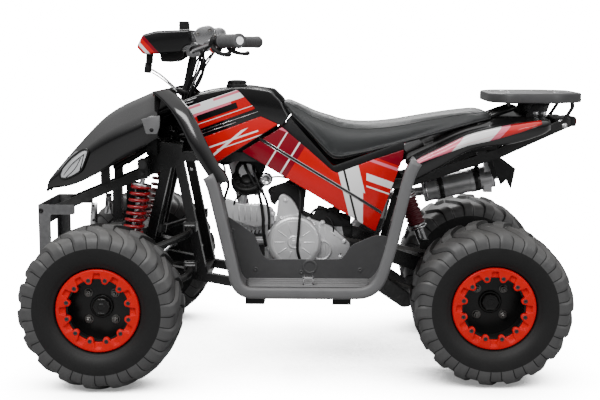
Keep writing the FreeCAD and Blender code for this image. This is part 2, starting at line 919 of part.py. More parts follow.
kingpin_hole = rod(kingpin_point(0), kingpin_point(shock_top_height), kingpin_radius + shaft_gap)
upper_arm = fused(wishbone(upper_pivot_height, upper_ball_height)).cut(kingpin_hole)
lower_arm = fused(wishbone(lower_pivot_height, lower_ball_height) + lower_arm_seat()).cut(kingpin_hole)
nodes["suspension_arms"] = Part.makeCompound([
    upper_arm, lower_arm, mirrored(upper_arm), mirrored(lower_arm)])


# Shock absorbers
def damper(top, foot):
    along = foot - top
    start = top + along * spring_start_share
    end = top + along * spring_end_share
    collar = (along * 1.0).normalize() * spring_wire
    sideways = along_y * (shock_eye_width / 2)
    eyes = [rod(p - sideways, p + sideways, shock_eye_radius) for p in (top, foot)]
    body = [
        rod(top, foot, damper_rod_radius),
        rod(end - collar * 6, foot, damper_radius),
        rod(start - collar, start, spring_radius),
        rod(end, end + collar, spring_radius),
    ]
    holes = [rod(p - sideways * 2, p + sideways * 2, stud_radius) for p in (top, foot)]
    return fused(eyes + body).cut(holes[0]).cut(holes[1])


def spring(top, foot):
    """Coil spring between the damper's two collars, in flat facets."""
    along = (foot - top).normalize()
    reach = (foot - top).Length
    start = top + (foot - top) * spring_start_share
    first = along * (spring_wire + seat_gap)
    rise = reach * (spring_end_share - spring_start_share) - 2 * spring_wire - 2 * seat_gap
    outward = along.cross(along_y).normalize()
    sideways = along.cross(outward)
    steps = spring_turns * spring_steps
    sections = []
    for i in range(steps + 1):
        turn = 2 * math.pi * i / spring_steps
        radial = outward * math.cos(turn) + sideways * math.sin(turn)
        base = start + first + along * (rise * i / steps)
        corners = []
        for k in range(spring_corners):
            angle = 2 * math.pi * (k + 0.5) / spring_corners
            reach_out = spring_radius - spring_wire + spring_wire * math.cos(angle)
            corners.append(base + radial * reach_out + along * (spring_wire * math.sin(angle)))
        sections.append(corners)
    faces = [face(sections[0]), face(sections[-1])]
    for lower, upper in zip(sections, sections[1:]):
        for k in range(spring_corners):
            after = (k + 1) % spring_corners
            faces.append(face([lower[k], lower[after], upper[after]]))
            faces.append(face([lower[k], upper[after], upper[k]]))
    return Part.makeSolid(Part.makeShell(faces))


rear_shock_top = Vector(rear_shock_top_x, 0, spine_rear_height - rear_shock_top_drop)
rear_shock_foot = Vector(rear_shock_foot_x, 0, rear_shock_foot_height)
left_damper = damper(shock_top, shock_foot)
nodes["dampers"] = Part.makeCompound([
    left_damper, mirrored(left_damper), damper(rear_shock_top, rear_shock_foot)])
left_spring = spring(shock_top, shock_foot)
nodes["springs"] = Part.makeCompound([
    left_spring, mirrored(left_spring), spring(rear_shock_top, rear_shock_foot)])

# Swingarm
arm_run = [(pivot_x, pivot_height), (0.0, rear_tyre_radius)]
arm_box = plate(strip(arm_run, arm_box_height), arm_half - arm_box_width / 2, arm_half + arm_box_width / 2)
swing_pieces = [
    arm_box,
    mirrored(arm_box),
    across(0, rear_tyre_radius, carrier_half, carrier_radius),
    rod(Vector(pivot_x, -frame_in + seat_gap, pivot_height), Vector(pivot_x, frame_in - seat_gap, pivot_height),
        pivot_boss_radius),
    plate(strip([(pivot_x, pivot_height), (rear_shock_foot_x, line_height(arm_run, rear_shock_foot_x))],
                arm_box_height), -arm_half, arm_half),
]
shock_cradle = shock_eye_width / 2 + seat_gap
for side in (1, -1):
    low, high = sorted((side * shock_cradle, side * (shock_cradle + arm_bracket)))
    swing_pieces.append(block(
        Vector(rear_shock_foot_x - shock_eye_radius, low, line_height(arm_run, rear_shock_foot_x)),
        Vector(rear_shock_foot_x + shock_eye_radius, high, rear_shock_foot_height + shock_eye_radius)))
swing_pieces.append(across(rear_shock_foot_x, rear_shock_foot_height, shock_cradle + arm_bracket, stud_radius))
axle_bore = across(0, rear_tyre_radius, rear_half_track, axle_radius + shaft_gap)
nodes["swingarm"] = fused(swing_pieces).cut(axle_bore)

# Engine
case_outline = [
    (crankcase_rear, crankcase_floor), (crankcase_front, crankcase_floor),
    (crankcase_front, crankcase_top), (crankcase_rear + tube_width, crankcase_top)]
crank_face = crankcase_half + crank_cover_depth
crank_cover = domed(Vector(crank_x, 0, crank_height), Vector(crank_x, crank_face, crank_height),
                    crank_cover_radius, cover_ease)
crank_plug = rod(Vector(crank_x, 0, crank_height), Vector(crank_x, crank_face + plug_height, crank_height),
                 plug_radius)
clutch_cover = domed(Vector(clutch_x, 0, clutch_height),
                     Vector(clutch_x, -crankcase_half - clutch_cover_depth, clutch_height),
                     clutch_cover_radius, cover_ease)
drive_shaft = rod(Vector(drive_sprocket_x, 0, drive_sprocket_height),
                  Vector(drive_sprocket_x, sprocket_y + sprocket_thickness / 2, drive_sprocket_height),
                  axle_radius)
drive_wheel = centred_disc(Vector(drive_sprocket_x, 0, drive_sprocket_height), sprocket_y,
                           drive_sprocket_radius, sprocket_thickness, stud_radius)
starter = domed(Vector(starter_x, 0, crankcase_top - overrun), Vector(starter_x, 0, starter_top),
                starter_radius, cover_ease)
mounts = [
    block(Vector(x - tube_width / 2, -frame_in, lower_rail_height - tube_width / 4),
          Vector(x + tube_width / 2, frame_in, crankcase_floor + overrun))
    for x in (crankcase_rear + 3 * tube_width, crankcase_front - 2 * tube_width)
]
nodes["crankcase"] = fused([
    rounded_plate(case_outline, case_bend, -crankcase_half, crankcase_half), crank_cover, crank_plug,
    clutch_cover, drive_shaft, drive_wheel, starter] + mounts)

cylinder_run = cylinder_front - crankcase_front
cylinder_foot = cylinder_height - cylinder_depth / 2
fins = [block(Vector(crankcase_front, -cylinder_half + fin_depth, cylinder_foot + fin_depth),
              Vector(cylinder_front, cylinder_half - fin_depth, cylinder_foot + cylinder_depth - fin_depth))]
fin_x = crankcase_front + fin_pitch
while fin_x < cylinder_front - cylinder_run / 3:
    fins.append(block(Vector(fin_x, -cylinder_half, cylinder_foot),
                      Vector(fin_x + fin_thickness, cylinder_half, cylinder_foot + cylinder_depth)))
    fin_x += fin_pitch
fins.append(block(Vector(cylinder_front - cylinder_run / 3, -cylinder_half, cylinder_foot),
                  Vector(cylinder_front, cylinder_half, cylinder_foot + cylinder_depth)))
nodes["cylinder"] = fused(fins)

# Carburettor on its manifold above the cylinder
manifold_foot = Vector(carburettor_x + carburettor_radius, 0, cylinder_foot + cylinder_depth - fin_depth)
carburettor_centre = Vector(carburettor_x, 0, carburettor_height)
filter_middle = carburettor_centre - along_y * (filter_length / 2)
nodes["carburettor"] = fused([
    rod(manifold_foot, carburettor_centre, carburettor_radius / 2),
    across(carburettor_x, carburettor_height, carburettor_radius * 2, carburettor_radius),
    domed(filter_middle, filter_middle + along_y * filter_length, filter_radius, cover_ease),
]).cut(nodes["cylinder"])

# Exhaust down the right side
pipe_low = cylinder_foot - exhaust_radius
exhaust_run = [
    Vector(cylinder_front - cylinder_run / 6, 0, cylinder_foot),
    Vector(cylinder_front - cylinder_run / 6, 0, pipe_low - exhaust_bend),
    Vector(cylinder_front - exhaust_bend, -exhaust_y, pipe_low - exhaust_bend),
    Vector(spine_low, -exhaust_y, pipe_low - exhaust_bend),
    Vector(muffler_front + exhaust_y, -exhaust_y, muffler_front_height - exhaust_bend / 2),
    Vector(muffler_front, -exhaust_y, muffler_front_height),
]
muffler_start = Vector(muffler_front, -exhaust_y, muffler_front_height)
muffler_end = Vector(muffler_rear, -exhaust_y, muffler_rear_height)
muffler_way = (muffler_end - muffler_start).normalize()
muffler = fused([
    domed(muffler_start, muffler_end, muffler_radius, muffler_ease),
    rod(muffler_end - muffler_way * muffler_tip, muffler_end + muffler_way * muffler_tip, muffler_tip_radius)])
for share in (0.16, 0.66):
    band_start = muffler_start + (muffler_end - muffler_start) * share
    muffler = muffler.fuse(rod(band_start, band_start + muffler_way * muffler_band, muffler_radius + rim_wall / 2))
hanger_x = tail_mid
muffler_hanger = block(
    Vector(hanger_x - tube_width / 2, -exhaust_y, muffler_front_height),
    Vector(hanger_x + tube_width / 2, -frame_out, tail_mid_height))
nodes["exhaust"] = fused([pipe(exhaust_run, exhaust_radius, exhaust_bend), muffler, muffler_hanger])

# Footwells: a sheet bent round the tray's outline with a rolled lip, and an inner wall with a hollow
wall_shares = [
    (0.0, 0.0), (1.0, 0.0), (1.037, 0.258), (1.09, 0.61), (0.90, 0.45), (0.84, 0.24), (0.80, 0.21),
    (0.24, 0.21), (0.16, 0.36), (-0.09, 0.46)]
wall_length = tray_front - tray_rear
wall_height = tray_front_height - tray_floor
well_line = [
    (tray_front_top, tray_front_height), (tray_knee, tray_knee_height), (tray_front, tray_floor),
    (tray_rear, tray_floor), (tray_rear_top, tray_rear_height)]
tail_piece = [well_line[-1], (tray_tail, tray_tail_height)]


def footwell():
    outline = [(tray_rear + wall_length * x, tray_floor + wall_height * z) for x, z in wall_shares]
    radii = [tray_bend, tray_bend] + [tray_hollow_bend] * (len(outline) - 2)
    lip_y = tray_outer - tray_sheet
    pieces = [
        rounded_plate(outline, radii, tray_inner, tray_inner + tray_sheet),
        bent_band(well_line, tray_sheet, tray_bend, tray_inner, tray_outer),
        bent_band(well_line + tail_piece[1:], tray_flange, tray_bend, lip_y, tray_outer),
        plate(strip(tail_piece, tray_sheet), tray_tail_inner, tray_outer),
    ]
    for share in (0.25, 0.5, 0.75):
        y = tray_inner + (tray_outer - tray_inner) * share
        pieces.append(block(
            Vector(tray_rear + 2 * tray_bend, y - tray_rib_width / 2, tray_floor),
            Vector(tray_front - 2 * tray_bend, y + tray_rib_width / 2, tray_floor + tray_sheet / 2 + tray_rib)))
    return fused(pieces)


nodes["footwell_left"] = footwell()
nodes["footwell_right"] = mirrored(nodes["footwell_left"])

# Footpegs: cross bars under the floors, with rubber blocks
peg_front_share, peg_rear_share = 0.88, 0.24
peg_front = tray_rear + wall_length * peg_front_share
peg_rear = tray_rear + wall_length * peg_rear_share
peg_pieces = []
for x in (peg_front, peg_rear):
    peg_pieces.append(block(
        Vector(x - tube_width, frame_out, tray_floor - tray_sheet / 2 - peg_depth),
        Vector(x + tube_width, tray_outer - tray_flange, tray_floor - tray_sheet / 2)))
nodes["footpegs"] = Part.makeCompound(peg_pieces + [mirrored(p) for p in peg_pieces])

# Saddle: a loft of eight-cornered sections
saddle_top_shares = [
    (0.0, 0.68), (0.04, 0.81), (0.20, 0.79), (0.335, 0.72), (0.50, 0.63), (0.63, 0.605),
    (0.75, 0.67), (0.845, 0.78), (0.925, 0.915), (1.0, 1.0)]
saddle_base_shares = [
    (0.0, 0.715), (0.04, 0.70), (0.20, 0.53), (0.335, 0.37), (0.50, 0.19), (0.63, 0.06),
    (0.75, 0.03), (0.845, 0.37), (0.925, 0.68), (1.0, 0.93)]
saddle_width_shares = [0.80, 0.92, 1.0, 1.0, 1.0, 0.96, 0.88, 0.76, 0.66, 0.58]
saddle_section_shares = [
    (-0.92, 0.0), (0.92, 0.0), (1.0, 0.35), (0.93, 0.85), (0.62, 1.0), (-0.62, 1.0), (-0.93, 0.85),
    (-1.0, 0.35)]


def saddle_x(share):
    return saddle_rear + saddle_length * share


def saddle_z(share):
    return saddle_low + saddle_height * share


saddle_rings = []
for (x_share, top_share), (_, base_share), wide in zip(
        saddle_top_shares, saddle_base_shares, saddle_width_shares):
    x, half = saddle_x(x_share), saddle_half * wide
    base = saddle_z(base_share)
    depth = max(saddle_z(top_share) - base, saddle_rim)
    points = [Vector(x, half * y, base + depth * z) for y, z in saddle_section_shares]
    saddle_rings.append(Part.makePolygon(points + [points[0]]))
nodes["saddle"] = Part.makeLoft(saddle_rings, True, True)

# Rear fender: one sheet with a shelf under the saddle, crowned wings and skirts, and a tongue forward.
# Each row holds shares: along the length, the shelf's height, the wing's reach, its height and its skirt.
tail_shares = [
    (0.000, 0.986, 0.773, 0.943, 0.096), (0.060, 1.000, 0.893, 0.957, 0.163),
    (0.193, 0.976, 0.960, 0.923, 0.211), (0.337, 0.880, 0.990, 0.880, 0.230),
    (0.468, 0.871, 1.000, 0.818, 0.191), (0.597, 0.799, 1.000, 0.746, 0.182),
    (0.764, 0.646, 1.000, 0.584, 0.220), (0.940, 0.488, 0.987, 0.407, 0.239),
    (1.000, 0.431, 0.967, 0.316, 0.220)]
tongue_end_share = 0.63
shelf_low = spine_rear_height
shelf_rise = tail_end_height + tube_width - spine_rear_height
base_line = [(saddle_x(x), saddle_z(z) - saddle_clear - rear_fender_sheet / 2) for x, z in saddle_base_shares]
fender_stations = []
fender_rings = []
for x_share, shelf_share, half_share, wing_share, skirt_share in tail_shares:
    x = fender_tail + (wing_front - fender_tail) * x_share
    shelf = shelf_low + shelf_rise * shelf_share
    if x > saddle_rear:
        shelf = line_height(base_line, x)
    half = rear_fender_half * half_share - rear_fender_sheet / 2
    wing = shelf_low + shelf_rise * wing_share - rear_fender_sheet / 2
    side = [
        (0, shelf), (saddle_half - wing_edge, shelf), (saddle_half + wing_edge, wing),
        (half - wing_edge, wing + wing_crown), (half, wing - wing_edge), (half, wing - shelf_rise * skirt_share)]
    profile = [(-y, z) for y, z in side[:0:-1]] + side
    points = [Vector(x, y, z) for y, z in strip(profile, rear_fender_sheet)]
    fender_rings.append(Part.makePolygon(points + [points[0]]))
    fender_stations.append((x, shelf))
tongue_line = [(wing_front, line_height(base_line, wing_front))]
tongue_line += [
    point for point, (x, z) in zip(base_line, saddle_base_shares)
    if point[0] > wing_front and x <= tongue_end_share]
tongue = plate(strip(tongue_line, rear_fender_sheet), -saddle_half + wing_edge, saddle_half - wing_edge)
nodes["rear_fender"] = fused([Part.makeLoft(fender_rings, True, True), tongue])

# Posts on the frame's rails that carry the rear fender, the front fender and the side panels
tail_line = [(spine_low, spine_low_height), (spine_rear, spine_rear_height), (tail_mid, tail_mid_height),
             (tail_end, tail_end_height)]
posts = []
for x in (fender_tail + tube_width, tail_mid + 2 * tube_width, rear_shock_foot_x):
    post_outline = []
    for edge in (x - tube_width / 2, x + tube_width / 2):
        post_outline.append((edge, line_height(fender_stations, edge)))
    for edge in (x + tube_width / 2, x - tube_width / 2):
        post_outline.append((edge, line_height(tail_line, edge)))
    posts.append(plate(post_outline, frame_in, frame_out))

# Tank cover: arched loft with a notch for the column
cover_shares = [
    (1.000, 0.55, 0.693), (0.756, 0.85, 0.889), (0.455, 1.00, 1.000), (0.185, 0.98, 0.993), (0.000, 0.85, 0.837)]
cover_section_shares = [
    (-1.0, 0.0), (1.0, 0.0), (1.0, 0.7), (0.8, 0.88), (0.4, 1.0), (-0.4, 1.0), (-0.8, 0.88), (-1.0, 0.7)]
cover_rings = []
for x_share, wide_share, top_share in cover_shares:
    x, half, rise = cover_rear + cover_length * x_share, cover_half * wide_share, cover_height * top_share
    points = [Vector(x, half * y, cover_base + rise * z) for y, z in cover_section_shares]
    cover_rings.append(Part.makePolygon(points + [points[0]]))
column_slot = rod(column_point(upper_bearing_height), column_point(column_head_height), column_radius * 4)
column_room = block(Vector(column_x - column_radius, -column_radius * 4, cover_base - overrun),
                    Vector(column_x + gusset_width, column_radius * 4, column_head_height))
nodes["tank_cover"] = Part.makeLoft(cover_rings, True, True).cut(column_slot).cut(column_room)

# Fuel tank on the frame's spine, under its cover
nodes["fuel_tank"] = block(Vector(tank_rear, -frame_half, spine_mid_height + tube_width / 2),
                           Vector(tank_front, frame_half, cover_base))

# Shrouds beside the tank cover and side panels below them
upper_shroud_shares = [(1.000, 0.567), (0.815, 0.000), (0.000, 0.533), (0.247, 1.000)]
lower_shroud_shares = [(1.000, 0.555), (0.790, 0.000), (0.000, 0.836), (0.230, 1.000)]


def scaled(shares, x, length, z, height):
    return [(x + length * x_share, z + height * z_share) for x_share, z_share in shares]


shroud_shapes = [
    rounded_plate(
        scaled(upper_shroud_shares, upper_shroud_rear, upper_shroud_length, upper_shroud_low,
               upper_shroud_height),
        panel_bend, cover_half - 3 * panel_sheet, cover_half + 3 * panel_sheet).cut(nodes["tank_cover"]),
    rounded_plate(
        scaled(lower_shroud_shares, lower_shroud_rear, lower_shroud_length, lower_shroud_low,
               lower_shroud_height),
        panel_bend, frame_out, shroud_y),
]
nodes["shrouds"] = Part.makeCompound(shroud_shapes + [mirrored(s) for s in shroud_shapes])
side_panel_shares = [
    (1.0, 0.37), (0.757, 0.576), (0.516, 0.283), (0.41, 0.162), (0.0, 0.37), (0.118, -0.178), (0.158, -0.424),
    (0.345, -0.24), (0.79, 0.137)]
groove_shares = [(0.94, 0.53), (0.127, -0.243)]
side_panel = rounded_plate(
    scaled(side_panel_shares, side_panel_rear, side_panel_length, spine_low_height, side_panel_height),
    panel_bend, side_panel_y, side_panel_y + panel_sheet)
groove = plate(
    strip(scaled(groove_shares, side_panel_rear, side_panel_length, spine_low_height, side_panel_height),
          panel_groove), side_panel_y + panel_sheet / 2, side_panel_y + overrun)
peg_spots = [(spine_low, spine_low_height), (pivot_x, spine_low_height)]
pegs = [
    rod(Vector(x, frame_out, z), Vector(x, side_panel_y, z), stud_radius) for x, z in peg_spots]
nodes["side_panels"] = pair(fused([side_panel.cut(groove)] + pegs))

# Front fender: a hood with two crests and creased sides, with a flap down to each footwell.
# Each row holds shares: along the nose, then the heights and half widths of the centre, the crest, the
# side's crease and its lower edge.
nose_shares = [
    (1.000, 0.090, 0.250, 0.084, 0.408, 0.059, 0.396, 0.006),
    (0.957, 0.184, 0.283, 0.178, 0.450, 0.121, 0.429, 0.028),
    (0.886, 0.265, 0.317, 0.271, 0.508, 0.190, 0.483, 0.044),
    (0.729, 0.439, 0.408, 0.464, 0.658, 0.315, 0.625, 0.090),
    (0.503, 0.695, 0.533, 0.726, 0.858, 0.495, 0.817, 0.221),
    (0.327, 0.832, 0.592, 0.857, 0.958, 0.607, 0.917, 0.327),
    (0.160, 0.938, 0.617, 0.938, 0.996, 0.688, 0.958, 0.439),
    (0.000, 1.000, 0.608, 0.963, 0.992, 0.757, 0.963, 0.558)]
shoulder_share, shoulder_lift_share = 0.5, 0.02


def nose_ring(row, filled):
    x_share, centre, crest_y, crest, side_y, side, low_y, low = row
    shoulder = (crest_y + (side_y - crest_y) * shoulder_share,
                side + (crest - side) * shoulder_share + shoulder_lift_share)
    shares = [(0, centre), (crest_y, crest), shoulder, (side_y, side), (low_y, low)]
    half = [(fender_half * y, fender_low + fender_height * z) for y, z in shares]
    profile = [(-y, z) for y, z in half[:0:-1]] + half
    outline = profile if filled else strip(profile, fender_sheet)
    points = [Vector(fender_peak + fender_nose_length * x_share, y, z) for y, z in outline]
    return Part.makePolygon(points + [points[0]])


nose = Part.makeLoft([nose_ring(row, False) for row in nose_shares], True, True)
nose_filled = Part.makeLoft([nose_ring(row, True) for row in nose_shares], True, True)
flap_shares = [
    (1.000, 1.000, 0.365, 0.677), (0.837, 0.922, 0.383, 0.754), (0.658, 0.797, 0.419, 0.850),
    (0.358, 0.422, 0.521, 0.952), (0.068, 0.078, 0.539, 0.991), (0.000, 0.000, 0.545, 1.000)]


def flap_ring(x_share, z_share, inner_share, outer_share):
    x, z = flap_foot + flap_length * x_share, flap_low + flap_height * z_share
    inner, outer = flap_half * inner_share, flap_half * outer_share
    line = [(x, inner), (x, outer - flap_corner), (x - flap_corner, outer), (x - flap_band, outer)]
    points = [Vector(a, b, z) for a, b in strip(line, fender_sheet)]
    return Part.makePolygon(points + [points[0]])


flap = Part.makeLoft([flap_ring(*row) for row in flap_shares], True, True)
lamp_shares = [(1.000, 0.176), (0.780, 0.529), (0.317, 0.941), (0.000, 1.000), (0.049, 0.294), (0.317, 0.000)]
lamp_prism = rounded_plate(
    scaled(lamp_shares, lamp_rear, lamp_length, lamp_low, lamp_height), lamp_bend, 0, fender_half)
nose_core = nose_filled.copy()
nose_core.translate(Vector(0, -lamp_depth, 0))
front_fender = fused([nose, flap, mirrored(flap)]).cut(lamp_prism).cut(mirrored(lamp_prism))
nodes["front_fender"] = front_fender.cut(nodes["footwell_left"]).cut(nodes["footwell_right"])
posts.append(block(
    Vector(nose_post - tube_width / 2, frame_in, line_height(bumper_line, nose_post)),
    Vector(nose_post + tube_width / 2, frame_in + tube_width / 2, nose_post_height)))
frame = fused(frame_pieces + posts + [mirrored(p) for p in posts])
nodes["frame"] = frame.cut(column_bore).cut(nodes["front_fender"]).cut(nodes["rear_fender"])
lamp = lamp_prism.common(nose_filled).cut(nose_core)
nodes["headlamps"] = pair(lamp)

# Rack: a tray-like plate with slots, on flat struts from the tail
rack_outline = [
    (-rear_reach, -rack_tail_half), (-rear_reach, rack_tail_half), (rack_front - rack_bolt_x, rack_half),
    (rack_front, rack_half * 0.8), (rack_front, -rack_half * 0.8), (rack_front - rack_bolt_x, -rack_half)]
rack_ring = [Vector(x, y, rack_top - rack_depth) for x, y in rack_outline]
rack_shape = Part.Face(rounded_wire(rack_ring, [rack_bend] * len(rack_ring))).extrude(Vector(0, 0, rack_depth))
rack_mid = (rack_front - rear_reach) / 2
for x in (-1, 1):
    for y in (-1, 1):
        spot = Vector(rack_mid + x * rack_bolt_x / 2, y * rack_bolt_y / 2, rack_top - rack_depth - overrun)
        rack_shape = rack_shape.cut(rod(spot, spot + Vector(0, 0, rack_depth + 2 * overrun), rack_bolt_radius))
nodes["rack"] = rack_shape
rack_floor = rack_top - rack_depth
stay_foot = line_height(fender_stations, stay_x)
stay = plate([
    (stay_x - stay_width / 2, stay_foot), (stay_x + stay_width / 2, stay_foot),
    (stay_x + stay_width / 2 - stay_lean, rack_floor), (stay_x - stay_width / 2 - stay_lean, rack_floor)],
    frame_in, frame_in + rack_sheet).cut(nodes["rear_fender"])
stay_rear = plate([
    (tail_end - rear_stay_width / 2, tail_end_height), (tail_end + rear_stay_width / 2, tail_end_height),
    (tail_end + rear_stay_width / 2 - rear_stay_lean, rack_floor),
    (tail_end - rear_stay_width / 2 - rear_stay_lean, rack_floor)],
    frame_in - rack_sheet, frame_in)
stay_rear = stay_rear.cut(nodes["frame"])
nodes["rack_stays"] = Part.makeCompound([stay, mirrored(stay), stay_rear, mirrored(stay_rear)])

# Tail lamp behind the frame's last cross member
lamp_face = tail_end - tube_width / 2
nodes["tail_lamp"] = block(
    Vector(lamp_face - tube_width, -tail_lamp_half, tail_end_height - tube_width / 2),
    Vector(lamp_face, tail_lamp_half, tail_end_height + tube_width / 2))

# Bracket that hangs from the tail's cross member, notched at its lower edge
bracket_shares = [(0.0, 0.0), (-1.0, -0.38), (-0.76, -1.0), (-0.46, -0.72), (-0.16, -0.88), (0.28, -0.30), (0.34, 0.0)]
bracket_top = tail_mid_height - tube_width / 2
bracket_plate = plate(
    scaled(bracket_shares, bracket_front, bracket_length, bracket_top, bracket_drop), 0, bracket_sheet)
bracket_left = bracket_plate.copy()
bracket_left.translate(along_y * bracket_half)
nodes["tail_bracket"] = pair(bracket_left)


# Bumper: folded sheet with a front face and two side flanges
bumper_front = wheelbase + front_reach
flange = [
    (bumper_front, bumper_floor), (bumper_front, bumper_top), (bumper_front - bumper_arm_length, bumper_top),
    (bumper_front - bumper_arm_length, bumper_top - bumper_arm_depth),
    (bumper_front - bumper_strap, bumper_top - bumper_arm_depth),
    (bumper_front - bumper_strap, bumper_floor)]
bumper_side = rounded_plate(flange, bumper_bend, bumper_half - bumper_sheet, bumper_half)
front_face = block(Vector(bumper_front - bumper_sheet, -bumper_half, bumper_floor),
                   Vector(bumper_front, bumper_half, bumper_top))
window = block(Vector(bumper_front - bumper_strap, -bumper_half + bumper_strap, bumper_floor + bumper_strap),
               Vector(bumper_front + overrun, bumper_half - bumper_strap, bumper_top - bumper_strap * 2))
nodes["bumper"] = fused([bumper_side, mirrored(bumper_side), front_face]).cut(window)

# Steering column with its pitman plate
column_foot = column_point(column_foot_height)
column_head = column_point(column_head_height)
pitman_top = column_foot + column_up * pitman_thickness
pitman_points = []
for back, y in ((0.3, -1.0), (1.0, -1.0), (1.0, 1.0), (0.3, 1.0)):
    reach = pitman_length * back + eye_radius * back
    pitman_points.append(column_foot + column_back * reach + along_y * (y * (pitman_spread + eye_radius)))
front_edge = [column_foot - column_back * bearing_radius + along_y * (bearing_radius * y) for y in (1.0, -1.0)]
pitman = face(pitman_points + front_edge).extrude(column_up * pitman_thickness)
inner_balls = [column_foot + column_back * pitman_length + along_y * (side * pitman_spread) for side in (1, -1)]
studs = [rod(p - column_up * (eye_thickness + 4 * seat_gap), p, stud_radius) for p in inner_balls]
nodes["steering_column"] = fused([rod(column_foot, column_head, column_radius), pitman] + studs)

# Tie rods from the pitman plate to the knuckles' steering arms
steering_ball = (
    kingpin_point(steering_arm_height) + kingpin_back * steering_arm_length + along_y * steering_arm_out)
eye_height = eye_thickness + 2 * seat_gap


def tie_rod():
    inner = inner_balls[0] - column_up * (eye_thickness / 2 + 2 * seat_gap)
    outer = steering_ball + kingpin_up * (steering_arm_thickness + eye_thickness / 2 + open_eye_gap)
    half_in = column_up * (eye_thickness / 2)
    half_out = kingpin_up * (eye_thickness / 2)
    outer_eye = eye_radius + open_eye_gap
    shapes = [
        rod(inner - half_in, inner + half_in, eye_radius),
        rod(outer - half_out, outer + half_out, outer_eye),
        rod(inner, outer, tie_rod_radius * 0.85),
    ]
    holes = [
        rod(inner - half_in * 4, inner + half_in * 4, stud_radius + shaft_gap),
        rod(outer - half_out * 4, outer + half_out * 4, stud_radius + open_eye_gap),
    ]
    return fused(shapes).cut(holes[0]).cut(holes[1])


nodes["tie_rod_left"] = tie_rod()
nodes["tie_rod_right"] = mirrored(nodes["tie_rod_left"])


# Knuckles
def knuckle():
    lower = kingpin_point(lower_ball_height)
    upper = kingpin_point(upper_ball_height)
    half = kingpin_up * (ball_housing_length / 2 + seat_gap * 3)
    pin = rod(lower - half, upper + half, kingpin_radius)
    post = rod(lower + kingpin_up * (2 * kingpin_boss_radius), upper - half, kingpin_boss_radius)
    axle_start = Vector(wheelbase, kingpin_y, front_tyre_radius)
    spindle_end = Vector(wheelbase, front_half_track - rim_disc, front_tyre_radius)
    spindle = rod(axle_start, spindle_end, spindle_radius)
    boss = rod(axle_start, Vector(wheelbase, brake_plate_y, front_tyre_radius), kingpin_boss_radius * 1.1)
    brake = rod(Vector(wheelbase, brake_plate_y, front_tyre_radius),
                Vector(wheelbase, brake_plate_y + brake_plate_thickness, front_tyre_radius), brake_plate_radius)
    root = kingpin_point(steering_arm_height)
    arm_width = eye_radius
    outline = [
        root + along_y * arm_width, steering_ball + kingpin_back * eye_radius + along_y * arm_width,
        steering_ball + kingpin_back * eye_radius - along_y * arm_width, root - along_y * arm_width]
    arm = face(outline).extrude(kingpin_up * steering_arm_thickness)
    stud = rod(steering_ball, steering_ball + kingpin_up * (steering_arm_thickness + eye_thickness + 2 * open_eye_gap),
               stud_radius)
    return fused([pin, post, spindle, boss, brake, arm, stud])


nodes["knuckle_left"] = knuckle()
nodes["knuckle_right"] = mirrored(nodes["knuckle_left"])

# Handlebar
bar_centre = Vector(column_point(bar_centre_height).x, 0, bar_centre_height)
grip_end = Vector(grip_end_x, grip_end_y, grip_end_height)
grip_inner = Vector(grip_end_x + grip_lean, grip_end_y - grip_length, grip_end_height)
bar_left = [
    grip_end, Vector(grip_end_x + bar_rise_x, bar_rise_y, grip_end_height),
    Vector(bar_centre.x - bar_knee_x, bar_knee_y, bar_centre_height)]
bar_right = [Vector(p.x, -p.y, p.z) for p in bar_left[::-1]]
bar = pipe(bar_left + bar_right, bar_radius, bar_bend)
clamp = rod(bar_centre - along_y * bar_clamp_half, bar_centre + along_y * bar_clamp_half,
            bar_radius + eye_radius)
nodes["handlebar"] = fused([bar, clamp]).cut(nodes["steering_column"])

grip_run = grip_end - grip_inner
grip_cap_share = 0.03
grip = domed(grip_inner, grip_end + grip_run * grip_cap_share, grip_radius, grip_ease)
grip = grip.cut(nodes["handlebar"])
nodes["grips"] = pair(grip)


# Controls: a perch on each side of the bar and a lever in front of the grip
perch_share, perch_inner_share, perch_outer_share = 0.30, 0.12, 0.24
perch_spot = grip_inner - grip_run * perch_share


def perch():
    collar = rod(perch_spot - grip_run * perch_inner_share, perch_spot + grip_run * perch_outer_share,
                 grip_radius)
    low = perch_spot + Vector(lever_reach, -reservoir_width, -grip_radius)
    reservoir = block(low, low + Vector(reservoir_length, reservoir_width, reservoir_height))
    lever_points = [
        perch_spot, perch_spot + Vector(lever_reach, lever_drop, -lever_drop),
        perch_spot + Vector(-lever_back, lever_length, -lever_sag)]
    lever = pipe(lever_points, lever_radius, lever_bend)
    arm = rod(perch_spot, perch_spot + Vector(lever_reach + reservoir_length / 2, -reservoir_width, 0),
              lever_radius + lever_radius / 2)
    return fused([collar, reservoir, lever, arm]).cut(nodes["handlebar"]).cut(grip)


nodes["controls"] = pair(perch())

# Cables from the controls, drawn together by a collar on the column
collar_middle = column_point(collar_height)
collar_half = column_up * (collar_length / 2)
cable_collar = rod(collar_middle - collar_half, collar_middle + collar_half, collar_radius)


def cable(offset):
    """Cable from the left perch to the collar, a small step behind or ahead of its neighbour."""
    step = Vector(offset, 0, 0)
    low = column_point(column_height)
    points = [
        perch_spot + Vector(0, -cable_start_drop, -cable_start_drop) + step,
        perch_spot + Vector(cable_slack, -cable_slack, -cable_slack) + step,
        Vector(column_point(column_head_height).x + offset, 2 * cable_slack, column_head_height - cable_slack),
        low + Vector(offset, cable_side + cable_spread / 2, cable_slack),
        low + Vector(offset, cable_side, -cable_slack / 2),
        collar_middle + Vector(offset, cable_side, 0)]
    return pipe(points, cable_radius, cable_bend)


left_cables = [cable(offset) for offset in (-cable_spread / 2, cable_spread / 2)]
cable_shapes = [cable_collar] + left_cables + [mirrored(c) for c in left_cables]
nodes["cables"] = fused(cable_shapes).cut(nodes["controls"]).cut(nodes["handlebar"]).cut(
    nodes["steering_column"])

